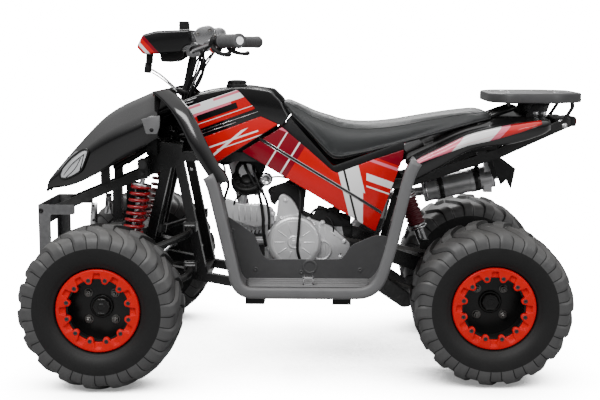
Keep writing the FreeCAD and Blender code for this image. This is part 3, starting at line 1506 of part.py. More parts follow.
# Handlebar pad with a dial block on top
pad_shares = [(1.0, 0.0), (0.734, 0.885), (0.0, 1.0), (0.0, 0.397), (0.162, 0.397), (0.277, 0.0)]
pad_outline = scaled(pad_shares, pad_rear, pad_length, pad_low, pad_height)
pad = rounded_plate(pad_outline, pad_bend, -pad_half, pad_half)
dial_foot = pad_low + pad_height - overrun
pad_dial = block(Vector(dial_x, -dial_length / 2, dial_foot),
                 Vector(dial_x + dial_length, dial_length / 2, pad_low + pad_height + dial_rise))
nodes["handlebar_pad"] = fused([pad, pad_dial]).cut(nodes["handlebar"])

# Shift to the model's own origin and write the files
middle = (wheelbase + front_reach - rear_reach) / 2
os.makedirs("parts", exist_ok=True)
for name, shape in nodes.items():
    placed = shape.copy()
    placed.translate(Vector(-middle, 0, 0))
    solids = len(placed.Solids)
    bounds = placed.BoundBox
    print(f"{name}: {solids} solids, valid {placed.isValid()}, volume {placed.Volume / 1000:.0f} cm3, "
          f"x {bounds.XMin:.0f} {bounds.XMax:.0f} y {bounds.YMin:.0f} {bounds.YMax:.0f} "
          f"z {bounds.ZMin:.0f} {bounds.ZMax:.0f}")
    placed.exportStep(f"parts/{name}.step")
print(len(nodes), "nodes")
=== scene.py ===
# %% [markdown]
# A small sports quad bike, dressed for its portrait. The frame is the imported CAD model: it already holds
# every tube, hub and panel at its true size, so this lesson only adds what CAD leaves plain, such as tread,
# seams, links, bolts and finishes. Lengths come in millimetres from the rear axle, which is how the machine
# was measured, and one helper turns them into Blender's metres.

# %% Load the frame
import math

import bmesh
import bpy
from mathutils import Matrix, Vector
from mathutils.bvhtree import BVHTree


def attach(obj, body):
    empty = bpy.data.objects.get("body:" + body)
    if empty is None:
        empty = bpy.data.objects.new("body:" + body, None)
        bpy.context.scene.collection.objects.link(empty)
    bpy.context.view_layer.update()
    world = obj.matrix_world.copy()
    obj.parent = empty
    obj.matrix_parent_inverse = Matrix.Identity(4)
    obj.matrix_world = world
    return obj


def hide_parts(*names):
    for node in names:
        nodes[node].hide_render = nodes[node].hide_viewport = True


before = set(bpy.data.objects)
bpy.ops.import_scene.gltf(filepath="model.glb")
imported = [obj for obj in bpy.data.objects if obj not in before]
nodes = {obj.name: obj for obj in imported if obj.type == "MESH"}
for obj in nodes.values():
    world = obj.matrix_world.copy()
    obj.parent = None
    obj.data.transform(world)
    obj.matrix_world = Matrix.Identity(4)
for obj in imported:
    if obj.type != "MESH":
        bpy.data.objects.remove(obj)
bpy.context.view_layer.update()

# %% Millimetres from the rear axle to metres in the model's frame
MIDDLE = 544.5                                  # the middle of the machine's length
FRONT_X, REAR_X = 1127.0, 0.0                   # the axles
FRONT_RADIUS, REAR_RADIUS = 236.0, 232.0        # the tyres, and so the axles' heights


def at(x, y, z):
    return Vector(((x - MIDDLE) / 1000, y / 1000, z / 1000))


def mm(length):
    return length / 1000

# %% [markdown]
# The camera stands where the photographer stood: on the left side, a little above the seat, with a short
# telephoto lens. One lens and one place give every proportion, so they come before any shape.

# %% Camera
camera_data = bpy.data.cameras.new("portrait")
camera_data.lens = 65.6
camera_data.sensor_width = 36.0
camera = bpy.data.objects.new("portrait", camera_data)
bpy.context.scene.collection.objects.link(camera)
camera.location = at(456.5, 3475, 971)
camera.rotation_euler = (math.radians(82.11), 0.0, math.radians(181.87))
bpy.context.scene.camera = camera

# %% [markdown]
# Shaders are trees of nodes. One helper adds a node and sets its inputs by name, with an underscore for each
# space, and another joins outputs to inputs.

# %% Helpers for nodes
def add_node(tree, kind, **values):
    made = tree.nodes.new("ShaderNode" + kind)
    for label, value in values.items():
        made.inputs[label.replace("_", " ")].default_value = value
    return made


def wire(tree, *pairs):
    for source, target in pairs:
        tree.links.new(source, target)


# %% [markdown]
# Plain soft studio light: a pale floor, a sky dome that is bright overhead and dark at the horizon, a large
# key lamp over the camera's shoulder, a fill beside it, and a rim lamp behind, so that black parts keep an
# edge. The camera itself sees the floor and the sky as white. The floor's glow carries a painted shadow: it is
# dimmed where the floor lies close under the machine.

# %% Floor
floor_mesh = bpy.data.meshes.new("floor")
floor_mesh.from_pydata([(-30, -30, 0), (30, -30, 0), (30, 30, 0), (-30, 30, 0)], [], [(0, 1, 2, 3)])
floor = bpy.data.objects.new("floor", floor_mesh)
bpy.context.scene.collection.objects.link(floor)
floor_paint = bpy.data.materials.new("pale_floor")
floor_paint.use_nodes = True
floor_tree = floor_paint.node_tree
floor_shader = floor_tree.nodes["Principled BSDF"]
for label, value in (("Base Color", (0.32, 0.32, 0.32, 1)), ("Roughness", 0.75),
                     ("Emission Color", (1, 1, 1, 1))):
    floor_shader.inputs[label].default_value = value
floor_path = add_node(floor_tree, "LightPath")
floor_glow = add_node(floor_tree, "Math")
floor_glow.operation = "MULTIPLY"
# Painted shadow: ambient occlusion dims the floor's glow for the camera under the machine.
floor_painted_shadow = add_node(floor_tree, "AmbientOcclusion", Distance=0.45)
floor_painted_shadow.samples = 12
floor_shadowed_glow = add_node(floor_tree, "MapRange", From_Min=0.3, From_Max=0.99, To_Min=0.25, To_Max=20.0)
wire(floor_tree, (floor_painted_shadow.outputs["AO"], floor_shadowed_glow.inputs["Value"]),
     (floor_shadowed_glow.outputs["Result"], floor_glow.inputs[1]),
     (floor_path.outputs["Is Camera Ray"], floor_glow.inputs[0]),
     (floor_glow.outputs[0], floor_shader.inputs["Emission Strength"]))
floor_mesh.materials.append(floor_paint)

# %% Sky
world = bpy.data.worlds.new("studio")
bpy.context.scene.world = world
world.use_nodes = True
sky = world.node_tree
sky.nodes["Background"].inputs["Color"].default_value = (1, 1, 1, 1)
sky_path = add_node(sky, "LightPath")
sky_place = add_node(sky, "TexCoord")
sky_split = add_node(sky, "SeparateXYZ")
sky_ramp = add_node(sky, "MapRange", From_Min=0.0, From_Max=0.8, To_Min=0.10, To_Max=1.3)
sky_ramp.interpolation_type = "SMOOTHSTEP"
sky_strength = add_node(sky, "Mix", B=22.0)
wire(sky, (sky_place.outputs["Generated"], sky_split.inputs[0]),
     (sky_split.outputs["Z"], sky_ramp.inputs["Value"]), (sky_ramp.outputs["Result"], sky_strength.inputs["A"]),
     (sky_path.outputs["Is Camera Ray"], sky_strength.inputs["Factor"]),
     (sky_strength.outputs["Result"], sky.nodes["Background"].inputs["Strength"]))


# %% Lamps
def lamp(name, place, target, size, power):
    data = bpy.data.lights.new(name, "AREA")
    data.shape = "RECTANGLE"
    data.size, data.size_y = size
    data.energy = power
    lamp_object = bpy.data.objects.new(name, data)
    lamp_object.location = place
    lamp_object.rotation_euler = (Vector(target) - Vector(place)).to_track_quat("-Z", "Y").to_euler()
    bpy.context.scene.collection.objects.link(lamp_object)


lamp("key", (1.3, 3.0, 3.2), (0, 0, 0.4), (2.2, 1.2), 110)
lamp("fill", (-2.6, 2.8, 1.6), (0, 0, 0.5), (1.2, 1.2), 26)
lamp("rim", (0.3, -3.0, 2.8), (0, 0, 0.6), (3.0, 1.0), 90)

# %% [markdown]
# Finishes share a few effects. Each is a node group that is built once and put in every material that needs
# it with its own values. A group gives out only masks and heights; the shader itself stays in the material.

# %% A helper that starts a node group
def new_group(name, inputs, outputs):
    group = bpy.data.node_groups.new(name, "ShaderNodeTree")
    for label, value in inputs:
        socket = group.interface.new_socket(label, in_out="INPUT", socket_type="NodeSocketFloat")
        socket.default_value = value
    for label in outputs:
        group.interface.new_socket(label, in_out="OUTPUT", socket_type="NodeSocketFloat")
    return group, group.nodes.new("NodeGroupInput"), group.nodes.new("NodeGroupOutput")


def math_node(tree, operation, first, second, clamp=False):
    made = add_node(tree, "Math")
    made.operation = operation
    made.use_clamp = clamp
    for socket, value in zip(made.inputs, (first, second)):
        if isinstance(value, (int, float)):
            socket.default_value = value
        else:
            tree.links.new(value, socket)
    return made.outputs[0]


# %% [markdown]
# Grain is the fine pebble of moulded plastic, vinyl and rubber. Two sizes of noise are enough: cells for the
# pebbles and a finer noise that keeps them from looking printed.

# %% Grain group
grain_group, grain_in, grain_out = new_group("grain", [("Scale", 900.0), ("Softness", 0.5)], ["Height"])
grain_place = add_node(grain_group, "TexCoord")
grain_cells = add_node(grain_group, "TexVoronoi")
grain_fine = add_node(grain_group, "TexNoise", Detail=3.0)
grain_fine_scale = math_node(grain_group, "MULTIPLY", grain_in.outputs["Scale"], 2.3)
grain_mix = math_node(grain_group, "MULTIPLY", grain_fine.outputs["Fac"], grain_in.outputs["Softness"])
grain_sum = math_node(grain_group, "ADD", grain_cells.outputs["Distance"], grain_mix)
wire(grain_group, (grain_place.outputs["Object"], grain_cells.inputs["Vector"]),
     (grain_place.outputs["Object"], grain_fine.inputs["Vector"]),
     (grain_in.outputs["Scale"], grain_cells.inputs["Scale"]), (grain_fine_scale, grain_fine.inputs["Scale"]),
     (grain_sum, grain_out.inputs["Height"]))

# %% [markdown]
# Dust settles on what looks up, thinly and in clouds. The mask is the surface's upward slant times a broad
# noise. Sharp edges, which a pointiness reading finds, are lightened and broken up by noise: partly wear, and
# partly a painted highlight such as sharp edges catch.

# %% Dust group, and the group for wear and painted edge highlights
dust_group, dust_in, dust_out = new_group("dust", [("Amount", 0.3), ("Scale", 9.0)], ["Mask"])
dust_shape = add_node(dust_group, "NewGeometry")
dust_split = add_node(dust_group, "SeparateXYZ")
dust_place = add_node(dust_group, "TexCoord")
dust_cloud = add_node(dust_group, "TexNoise", Detail=6.0)
dust_lean = math_node(dust_group, "MAXIMUM", dust_split.outputs["Z"], 0.15)
dust_up = math_node(dust_group, "MULTIPLY", dust_lean, dust_cloud.outputs["Fac"])
dust_mask = math_node(dust_group, "MULTIPLY", dust_up, dust_in.outputs["Amount"], True)
wire(dust_group, (dust_shape.outputs["Normal"], dust_split.inputs[0]),
     (dust_place.outputs["Object"], dust_cloud.inputs["Vector"]),
     (dust_in.outputs["Scale"], dust_cloud.inputs["Scale"]), (dust_mask, dust_out.inputs["Mask"]))

# Painted highlight and wear: this mask lightens sharp edges, partly for wear and partly for the light they
# catch.
wear_and_highlight_group, edge_in, edge_out = new_group("edge_wear_and_highlight", [("Amount", 0.5), ("Scale", 60.0)], ["Mask"])
edge_shape = add_node(wear_and_highlight_group, "NewGeometry")
edge_place = add_node(wear_and_highlight_group, "TexCoord")
edge_noise = add_node(wear_and_highlight_group, "TexNoise", Detail=5.0)
edge_sharp = math_node(wear_and_highlight_group, "SUBTRACT", edge_shape.outputs["Pointiness"], 0.52, True)
edge_strength = math_node(wear_and_highlight_group, "MULTIPLY", edge_sharp, 9.0, True)
edge_broken = math_node(wear_and_highlight_group, "MULTIPLY", edge_strength, edge_noise.outputs["Fac"])
wear_and_highlight_mask = math_node(wear_and_highlight_group, "MULTIPLY", edge_broken, edge_in.outputs["Amount"], True)
wire(wear_and_highlight_group, (edge_place.outputs["Object"], edge_noise.inputs["Vector"]),
     (edge_in.outputs["Scale"], edge_noise.inputs["Scale"]), (wear_and_highlight_mask, edge_out.inputs["Mask"]))
print("node groups", len(bpy.data.node_groups))

# %% [markdown]
# One maker turns a colour, a roughness and these effects into a finish. Colours are mixed with the dust mask
# and with the wear mask, which also paints highlights on sharp edges, before they reach the shader, and the
# grain's height goes through a Bump node.

# %% Finish maker
DUST_COLOUR = (0.42, 0.40, 0.36)


def mix_colour(tree, mask, first, second):
    made = add_node(tree, "Mix")
    made.data_type = "RGBA"
    tree.links.new(mask, made.inputs["Factor"])
    for socket, value in ((made.inputs[6], first), (made.inputs[7], second)):
        if isinstance(value, tuple):
            socket.default_value = (*value, 1.0)
        else:
            tree.links.new(value, socket)
    return made.outputs[2]


def place_group(tree, group, output, **values):
    made = add_node(tree, "Group")
    made.node_tree = group
    for label, value in values.items():
        made.inputs[label].default_value = value
    return made.outputs[output]


def finish(name, colour, roughness, metallic=0.0, grain=0.0, grain_scale=900.0, dust=0.15, edge_wear_and_highlight=0.0,
           worn_and_lit_edge=(0.5, 0.5, 0.5), coat=0.0, sheen=0.0, pattern=None, shine=0.5):
    material = bpy.data.materials.new(name)
    material.use_nodes = True
    tree = material.node_tree
    shader = tree.nodes["Principled BSDF"]
    for label, value in (("Metallic", metallic), ("Coat Weight", coat), ("Coat Roughness", 0.08),
                         ("Sheen Weight", sheen), ("Specular IOR Level", shine)):
        shader.inputs[label].default_value = value
    base = pattern(tree) if pattern else colour
    cloud = add_node(tree, "TexNoise", Scale=14.0, Detail=4.0)
    place = add_node(tree, "TexCoord")
    tree.links.new(place.outputs["Object"], cloud.inputs["Vector"])
    if not pattern:
        deeper, lighter = tuple(c * 0.82 for c in colour), tuple(min(1, c * 1.15) for c in colour)
        base = mix_colour(tree, cloud.outputs["Fac"], deeper, lighter)
    # Sharp edges turn towards the edge colour: partly wear, partly a painted highlight.
    if edge_wear_and_highlight:
        base = mix_colour(tree, place_group(tree, wear_and_highlight_group, "Mask", Amount=edge_wear_and_highlight), base, worn_and_lit_edge)
    dusty = place_group(tree, dust_group, "Mask", Amount=dust)
    base = mix_colour(tree, dusty, base, DUST_COLOUR)
    rough = math_node(tree, "ADD", math_node(tree, "MULTIPLY", cloud.outputs["Fac"], 0.12), roughness - 0.06)
    rough = math_node(tree, "ADD", rough, math_node(tree, "MULTIPLY", dusty, 0.5), True)
    wire(tree, (base, shader.inputs["Base Color"]), (rough, shader.inputs["Roughness"]))
    if grain:
        bump = add_node(tree, "Bump", Strength=grain, Distance=0.0004)
        wire(tree, (place_group(tree, grain_group, "Height", Scale=grain_scale), bump.inputs["Height"]),
             (bump.outputs["Normal"], shader.inputs["Normal"]))
    return material


# %% [markdown]
# Black is the machine's main colour, in gloss, satin and matt. Blacks stay near zero and reds hold almost no
# green or blue, because the viewer's tone curve lifts dark tones and pales strong colours.

# %% The finishes
NEAR_BLACK = (0.004, 0.004, 0.0045)
# Finishes with wear get lighter sharp edges: partly wear, partly a painted highlight.
black_paint = finish("frame_black", NEAR_BLACK, 0.26, edge_wear_and_highlight=0.3, worn_and_lit_edge=(0.22, 0.22, 0.22), dust=0.06, shine=0.4)
grey_plastic = finish("moulded_grey", (0.125, 0.125, 0.128), 0.42, grain=0.25, grain_scale=1400, dust=0.12,
                      edge_wear_and_highlight=0.35, worn_and_lit_edge=(0.3, 0.3, 0.3))
# A darker copy of the footwell grey for the tray's inner wall and what sits on it: painted shade.
shaded_wall_grey = finish("shaded_wall_grey", (0.050, 0.050, 0.052), 0.45, grain=0.25, grain_scale=1400, dust=0.06, edge_wear_and_highlight=0.3,
                   worn_and_lit_edge=(0.25, 0.25, 0.25))
black_plastic = finish("moulded_black", (0.005, 0.005, 0.0055), 0.45, grain=0.3, grain_scale=1500, dust=0.05,
                       shine=0.28)
gloss_black = finish("gloss_black", NEAR_BLACK, 0.16, coat=0.35, dust=0.03)
vinyl = finish("charcoal_vinyl", (0.020, 0.022, 0.023), 0.40, grain=0.8, grain_scale=650, dust=0.06, sheen=0.08,
               shine=0.45)
tyre_rubber = finish("tyre_rubber", (0.006, 0.006, 0.0063), 0.55, grain=0.3, grain_scale=700, dust=0.05,
                     shine=0.3)
tread_rubber = finish("tread_rubber", (0.055, 0.055, 0.056), 0.46, grain=0.6, grain_scale=380, dust=0.18)
# The ring's pale red edges are partly wear and partly a painted highlight.
ring_red = finish("ring_red", (0.62, 0.0, 0.0), 0.32, dust=0.02, edge_wear_and_highlight=0.25, worn_and_lit_edge=(0.9, 0.25, 0.22), shine=0.25)
spring_red = finish("spring_red", (0.24, 0.0, 0.004), 0.24, coat=0.3, dust=0.03)
engine_silver = finish("cast_silver", (0.80, 0.80, 0.81), 0.36, metallic=0.65, grain=0.7, grain_scale=300,
                       dust=0.06)
bright_steel = finish("bright_steel", (0.62, 0.62, 0.63), 0.22, metallic=1.0, dust=0.06)
dark_steel = finish("oiled_steel", (0.16, 0.155, 0.15), 0.35, metallic=1.0)
muffler_steel = finish("muffler_steel", (0.72, 0.72, 0.73), 0.30, metallic=0.72, dust=0.06)
rack_grey = finish("rack_grey", (0.045, 0.045, 0.047), 0.42, grain=0.15, grain_scale=1600, edge_wear_and_highlight=0.3, dust=0.08)
bumper_grey = finish("bumper_grey", (0.06, 0.06, 0.063), 0.40, grain=0.12, grain_scale=1600, edge_wear_and_highlight=0.3,
                     dust=0.08)
grip_rubber = finish("grip_rubber", (0.075, 0.075, 0.078), 0.6, grain=0.4)
rim_black = finish("rim_black", (0.004, 0.004, 0.004), 0.3, dust=0.04, shine=0.35)
# The boot's red is darkened well below the springs' red: painted shade under the seat.
shaded_boot_red = finish("shaded_boot_red", (0.09, 0.002, 0.008), 0.35, grain=0.3, grain_scale=800, dust=0.05)
body_red = finish("body_red", (0.60, 0.0, 0.002), 0.18, coat=0.25, dust=0.02)
lamp_clear = finish("lamp_clear", (0.80, 0.81, 0.83), 0.12, metallic=0.55, coat=0.8, dust=0.02)
print("finishes", len(bpy.data.materials))

# %% [markdown]
# Every CAD node that keeps its shape gets its finish through its own material slots. The ones that a later
# piece stands for are painted too, so that a look at the frame alone is in colour.

# %% Finishes for the CAD nodes
for material, names in (
        (black_paint, "frame suspension_arms swingarm steering_column knuckle_left knuckle_right rack_stays"),
        (dark_steel, "chain sprocket brake_disc"),
        (bright_steel, "rear_axle handlebar tie_rod_left tie_rod_right dampers headlamps"),
        (spring_red, "springs"), (engine_silver, "crankcase cylinder carburettor"), (muffler_steel, "exhaust"),
        (grey_plastic, "footwell_left footwell_right"),
        (black_plastic, "footpegs fuel_tank controls cables tail_bracket handlebar_pad"),
        (vinyl, "saddle"), (gloss_black, "rear_fender tank_cover front_fender"),
        (body_red, "shrouds side_panels tail_lamp"), (rack_grey, "rack"), (bumper_grey, "bumper"),
        (grip_rubber, "grips"), (tyre_rubber, "tyre_front_left tyre_front_right tyres_rear"),
        (rim_black, "rim_front_left rim_front_right rims_rear"),
        (ring_red, "ring_front_left ring_front_right rings_rear")):
    for name in names.split():
        for slot in nodes[name].material_slots:
            slot.material = material

# %% [markdown]
# Most large pieces are skins: rows of points joined by four-sided faces, which a subdivision surface then
# rounds. One helper makes a piece from points and faces, and one joins rows into a skin. The small ones add
# what a piece needs afterwards: rounding, thickness, softened edges or creases.

# %% Pieces, skins and their modifiers
def piece(name, points, faces, material, body="chassis", smooth=True):
    mesh = bpy.data.meshes.new(name)
    mesh.from_pydata([tuple(p) for p in points], [], faces)
    shape = bmesh.new()
    shape.from_mesh(mesh)
    bmesh.ops.remove_doubles(shape, verts=shape.verts, dist=1e-6)
    bmesh.ops.recalc_face_normals(shape, faces=shape.faces)
    shape.to_mesh(mesh)
    shape.free()
    mesh.polygons.foreach_set("use_smooth", [smooth] * len(mesh.polygons))
    for one in material if isinstance(material, list) else [material]:
        mesh.materials.append(one)
    made = bpy.data.objects.new(name, mesh)
    bpy.context.scene.collection.objects.link(made)
    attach(made, body)
    return made


def skin_faces(rows, columns, closed=False, looped=False):
    """Faces between rows of points; closed joins each row's ends, looped joins the last row to the first."""
    faces = []
    for i in range(rows if looped else rows - 1):
        here, below = i * columns, (i + 1) % rows * columns
        for j in range(columns if closed else columns - 1):
            beside = (j + 1) % columns
            faces.append((here + j, here + beside, below + beside, below + j))
    return faces


def grid(rows, closed=False, looped=False):
    """Shape from rows of points: a list of points and a list of faces."""
    return [p for row in rows for p in row], skin_faces(len(rows), len(rows[0]), closed, looped)


def end_caps(count, columns):
    """Faces that close the first and the last row of points."""
    return [tuple(range(columns))[::-1], tuple(range(count - columns, count))]


def skin(name, rows, material, solid=False):
    points, faces = grid(rows, closed=solid)
    if solid:
        faces += end_caps(len(points), len(rows[0]))
    return piece(name, points, faces, material)


def across(x, half):
    """A row right across the machine from the (y, z) points of its left half."""
    return [at(x, -y, z) for y, z in half[:0:-1]] + [at(x, y, z) for y, z in half]


def add_modifier(made, kind, **settings):
    modifier = made.modifiers.new(kind.lower(), kind)
    for label, value in settings.items():
        setattr(modifier, label, value)


def rounded(made):
    add_modifier(made, "SUBSURF", levels=1, render_levels=1)


def thick(made, thickness, offset=0.0):
    add_modifier(made, "SOLIDIFY", thickness=mm(thickness), offset=offset)


def eased(made, width, segments=2, angle=35):
    add_modifier(made, "BEVEL", width=mm(width), segments=segments, limit_method="ANGLE",
                 angle_limit=math.radians(angle), harden_normals=False)


def settled(made):
    """Keeps the modifiers' result as the piece's own mesh."""
    bpy.context.view_layer.update()
    seen = made.evaluated_get(bpy.context.evaluated_depsgraph_get())
    kept = bpy.data.meshes.new_from_object(seen)
    made.modifiers.clear()
    made.data = kept


def creased(made, corners, amount):
    """Sharpens the edges whose two ends are both among the corners."""
    keys = {tuple(round(c, 5) for c in corner) for corner in corners}
    shape = bmesh.new()
    shape.from_mesh(made.data)
    layer = shape.edges.layers.float.get("crease_edge") or shape.edges.layers.float.new("crease_edge")
    for edge in shape.edges:
        if all(tuple(round(c, 5) for c in end.co) in keys for end in edge.verts):
            edge[layer] = amount
    shape.to_mesh(made.data)
    shape.free()


# %% [markdown]
# Outlines and paths start as a few measured points. One helper draws a smooth line through them, one rounds the
# corners of a plane line, and one does so for a closed outline.

# %% Lines and outlines
def smooth_line(points, steps=4):
    """A finer line through the same points (tuples of numbers), by Catmull and Rom's rule."""
    line = []
    for i in range(len(points) - 1):
        before, here = points[max(i - 1, 0)], points[i]
        after, last = points[i + 1], points[min(i + 2, len(points) - 1)]
        for k in range(steps):
            t = k / steps
            line.append(tuple(
                0.5 * (2 * b + (c - a) * t + (2 * a - 5 * b + 4 * c - d) * t * t
                       + (3 * b - a - 3 * c + d) * t * t * t)
                for a, b, c, d in zip(before, here, after, last)))
    line.append(tuple(points[-1]))
    return line


def filleted(points, radius, steps=5):
    """Plane points with every inner corner rounded to about the radius."""
    line = [points[0]]
    for before, corner, after in zip(points, points[1:], points[2:]):
        a, b, c = Vector(before), Vector(corner), Vector(after)
        into, out = (a - b), (c - b)
        reach = min(radius, into.length * 0.48, out.length * 0.48)
        first, last = b + into.normalized() * reach, b + out.normalized() * reach
        for k in range(steps + 1):
            t = k / steps
            line.append(tuple(first * (1 - t) ** 2 + b * 2 * t * (1 - t) + last * t * t))
    line.append(points[-1])
    return line


def corners(outline, radius, steps=4):
    """Closed outline with rounded corners."""
    middle = [tuple((a + b) / 2 for a, b in zip(outline[-1], outline[0]))]
    return filleted(middle + outline + middle, radius, steps)[:-1]


def curve(points, steps=6):
    """Smooth 3-D line in metres through (x, y, z) points in millimetres."""
    return [at(*p) for p in smooth_line(points, steps)]


def around(count, phase=0.0):
    """Angles of so many places, evenly spaced round a circle."""
    return [2 * math.pi * k / count + phase for k in range(count)]


def on_circle(x, y, z, radius, angle):
    """Point on a circle that faces sideways."""
    return at(x + radius * math.cos(angle), y, z + radius * math.sin(angle))


# %% [markdown]
# Machine parts need three more tools: a lathe for anything turned, a sweep for tubes, hoses and seams, and an
# extruder for plates. Each gives back points and faces, so that many small parts can join in one piece.

# %% Lathe, sweep and plate
ALONG_Y, UPWARD = Vector((0, 1, 0)), Vector((0, 0, 1))


def square_to(axis, guide):
    """Two directions that stand square on the axis and on each other."""
    first = axis.cross(guide).normalized()
    return first, axis.cross(first)


def lathe(profile, origin, axis, segments=24, phase=0.0):
    """Turned shape from (radius, along) pairs in millimetres, about an axis through the origin."""
    axis = Vector(axis).normalized()
    first, second = square_to(axis, UPWARD if abs(axis.z) < 0.9 else Vector((1, 0, 0)))
    points = [origin + axis * mm(along) + (first * math.cos(a) + second * math.sin(a)) * mm(radius)
              for radius, along in profile for a in around(segments, phase)]
    return points, skin_faces(len(profile), segments, closed=True)


def sweep(line, radius, segments=10):
    """Round tube along a line of points in metres; the radius is one number or one for each point."""
    radii = radius if isinstance(radius, list) else [radius] * len(line)
    up = (line[1] - line[0]).normalized().orthogonal().normalized()
    points = []
    for i, spot in enumerate(line):
        run = (line[min(i + 1, len(line) - 1)] - line[max(i - 1, 0)]).normalized()
        up = (up - run * up.dot(run)).normalized()
        side = run.cross(up)
        points += [spot + (up * math.cos(a) + side * math.sin(a)) * mm(radii[i]) for a in around(segments)]
    return points, skin_faces(len(line), segments, closed=True) + end_caps(len(points), segments)


def plate(outline, y_low, y_high):
    """Flat plate with an (x, z) outline between two distances from the middle plane."""
    count = len(outline)
    points = [at(x, y_low, z) for x, z in outline] + [at(x, y_high, z) for x, z in outline]
    faces = [tuple(range(count)), tuple(range(2 * count - 1, count - 1, -1))]
    faces += [(i, (i + 1) % count, count + (i + 1) % count, count + i) for i in range(count)]
    return points, faces


def hexagon(radius, length, chamfer=1.2):
    """Lathe profile of a bolt's head, which is turned in six steps."""
    return [(0, 0), (radius, 0), (radius, length - chamfer), (radius - chamfer, length), (0, length)]


# %% [markdown]
# Many small shapes become one piece: joined, mirrored to the other side where the machine has them twice, with
# their edges softened. That keeps the list of pieces short and their finish the same.

# %% Joining shapes in one piece
def joined(shapes):
    points, faces = [], []
    for more_points, more_faces in shapes:
        start = len(points)
        points += more_points
        faces += [tuple(start + i for i in one) for one in more_faces]
    return points, faces


def opposite(shape):
    """The same shape on the other side of the machine."""
    points, faces = shape
    return [Vector((p.x, -p.y, p.z)) for p in points], [face[::-1] for face in faces]


def both_sides(shape):
    return joined([shape, opposite(shape)])


def fitted(name, shapes, material, bevel=None, body="chassis", smooth=True, both=False):
    """One piece from a list of shapes. The bevel is a width in millimetres, its steps and the least angle."""
    shape = both_sides(joined(shapes)) if both else joined(shapes)
    made = piece(name, *shape, material, body, smooth)
    if bevel:
        eased(made, *bevel)
    return made


print("helpers ready")

# %% [markdown]
# The front fender is one glossy moulding: a hood with two crests that run from the nose tip to the peak
# before the handlebar, and sides that fall to a crease over each wheel. It is a skin of stations along the
# machine. Each station goes from one wheel's side over the hood to the other's.

# %% Front fender
fender_stations = [
    # x, centre, crest y, crest, side y, side crease, low y, low
    (1358, 530, 60, 529, 94, 528, 92, 527),
    (1361, 560, 62, 558, 100, 548, 97, 533),
    (1345, 586, 68, 584, 108, 566, 103, 536),
    (1318, 612, 76, 614, 122, 588, 116, 541),
    (1259, 668, 98, 676, 158, 628, 150, 556),
    (1174, 750, 128, 760, 206, 686, 196, 598),
    (1108, 794, 142, 802, 230, 722, 220, 632),
    (1045, 828, 148, 828, 239, 748, 230, 668),
    (1007, 842, 150, 844, 240, 768, 232, 694),
    (985, 848, 146, 836, 238, 770, 231, 706),
]


def fender_row(x, centre, crest_y, crest, side_y, side, low_y, low):
    return across(x, [
        (0, centre), (crest_y * 0.5, centre * 0.55 + crest * 0.45 + 1), (crest_y * 0.88, crest - 1),
        (crest_y * 1.06, crest - 5), (crest_y * 0.45 + side_y * 0.55, crest * 0.42 + side * 0.58 + 5),
        (side_y, side), (side_y * 0.5 + low_y * 0.5 + 1, side * 0.5 + low * 0.5), (low_y, low),
        (low_y - 9, low - 1)])


fender_rows = [fender_row(*station) for station in smooth_line(fender_stations, 2)]
front_fender = skin("front_fender_skin", fender_rows, gloss_black)
creased(front_fender, [row[k] for row in fender_rows for k in (5, 11)], 0.55)     # the crests
creased(front_fender, [row[k] for row in fender_rows for k in (3, 13)], 0.9)      # the folds over the wheels
rounded(front_fender)
thick(front_fender, 4.0, -1.0)
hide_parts("front_fender")
print("front fender", len(front_fender.data.polygons), "faces")

# %% [markdown]
# Each flap hangs from the fender's peak to the footwell: a mudguard that faces the wheel, turned round a
# soft corner into a band that faces outward. One cross-section follows the line of the band.

# %% Front flaps
flap_line = smooth_line([
    (1006, 842, 122, 226), (975, 822, 128, 252), (941, 790, 140, 284), (908, 740, 158, 304),
    (884, 694, 174, 318), (852, 640, 178, 326), (829, 606, 180, 331), (816, 586, 182, 334)], 3)


def flap_row(x, z, inner, outer, side):
    lean = -0.18 * (z - 586) / 256
    section = [(-2, inner), (0, inner + 12), (0, (inner + outer) / 2), (0, outer - 14), (-4, outer - 4),
               (-14, outer), (-30, outer + 1), (-46, outer - 2), (-52, outer - 9)]
    return [at(x + dx, side * y, z + dx * lean) for dx, y in section]


for side, word in ((1, "left"), (-1, "right")):
    flap = skin(f"front_flap_{word}", [flap_row(*station, side) for station in flap_line], gloss_black)
    rounded(flap)
    thick(flap, 4.0)
print("flaps", len(flap_line), "stations each")

# %% [markdown]
# A footwell is a deep tray: floor and raked ends bent from one sheet with large corner radii, an inner wall
# with a hollow for the engine, and a rolled lip all round the open side. The sheet's cross-section, from the
# inner wall out to the lip, follows the tray's outline.

# %% Footwell sheet and lip
well_line = filleted([
    (812, 584), (790, 490), (757, 345), (738, 262), (338, 262), (297, 389), (252, 590)], 58, 6)
well_line = [(824, 606)] + well_line + [(238, 628), (224, 650)]


def normals_of(line):
    found = []
    for i in range(len(line)):
        a, b = Vector(line[max(i - 1, 0)]), Vector(line[min(i + 1, len(line) - 1)])
        run = (b - a).normalized()
        found.append(Vector((run.y, -run.x)))
    return found


well_section = [(180, 0), (184, 4), (215, 4), (262, 4), (310, 4), (326, 3), (334, -6), (338, -12), (345, -14),
                (350, -11), (351, 0), (350, 12), (345, 18), (336, 17)]


def well_rows(side):
    rows = []
    for (x, z), normal in zip(well_line, normals_of(well_line)):
        outward = -normal if normal.y > 0 else normal
        if abs(normal.x) > 0.9:
            outward = Vector((1 if x > 540 else -1, 0)) * abs(normal.x) + Vector((0, -abs(normal.y)))
        rows.append([at(x + outward.x * n, side * y, z + outward.y * n) for y, n in well_section])
    return rows


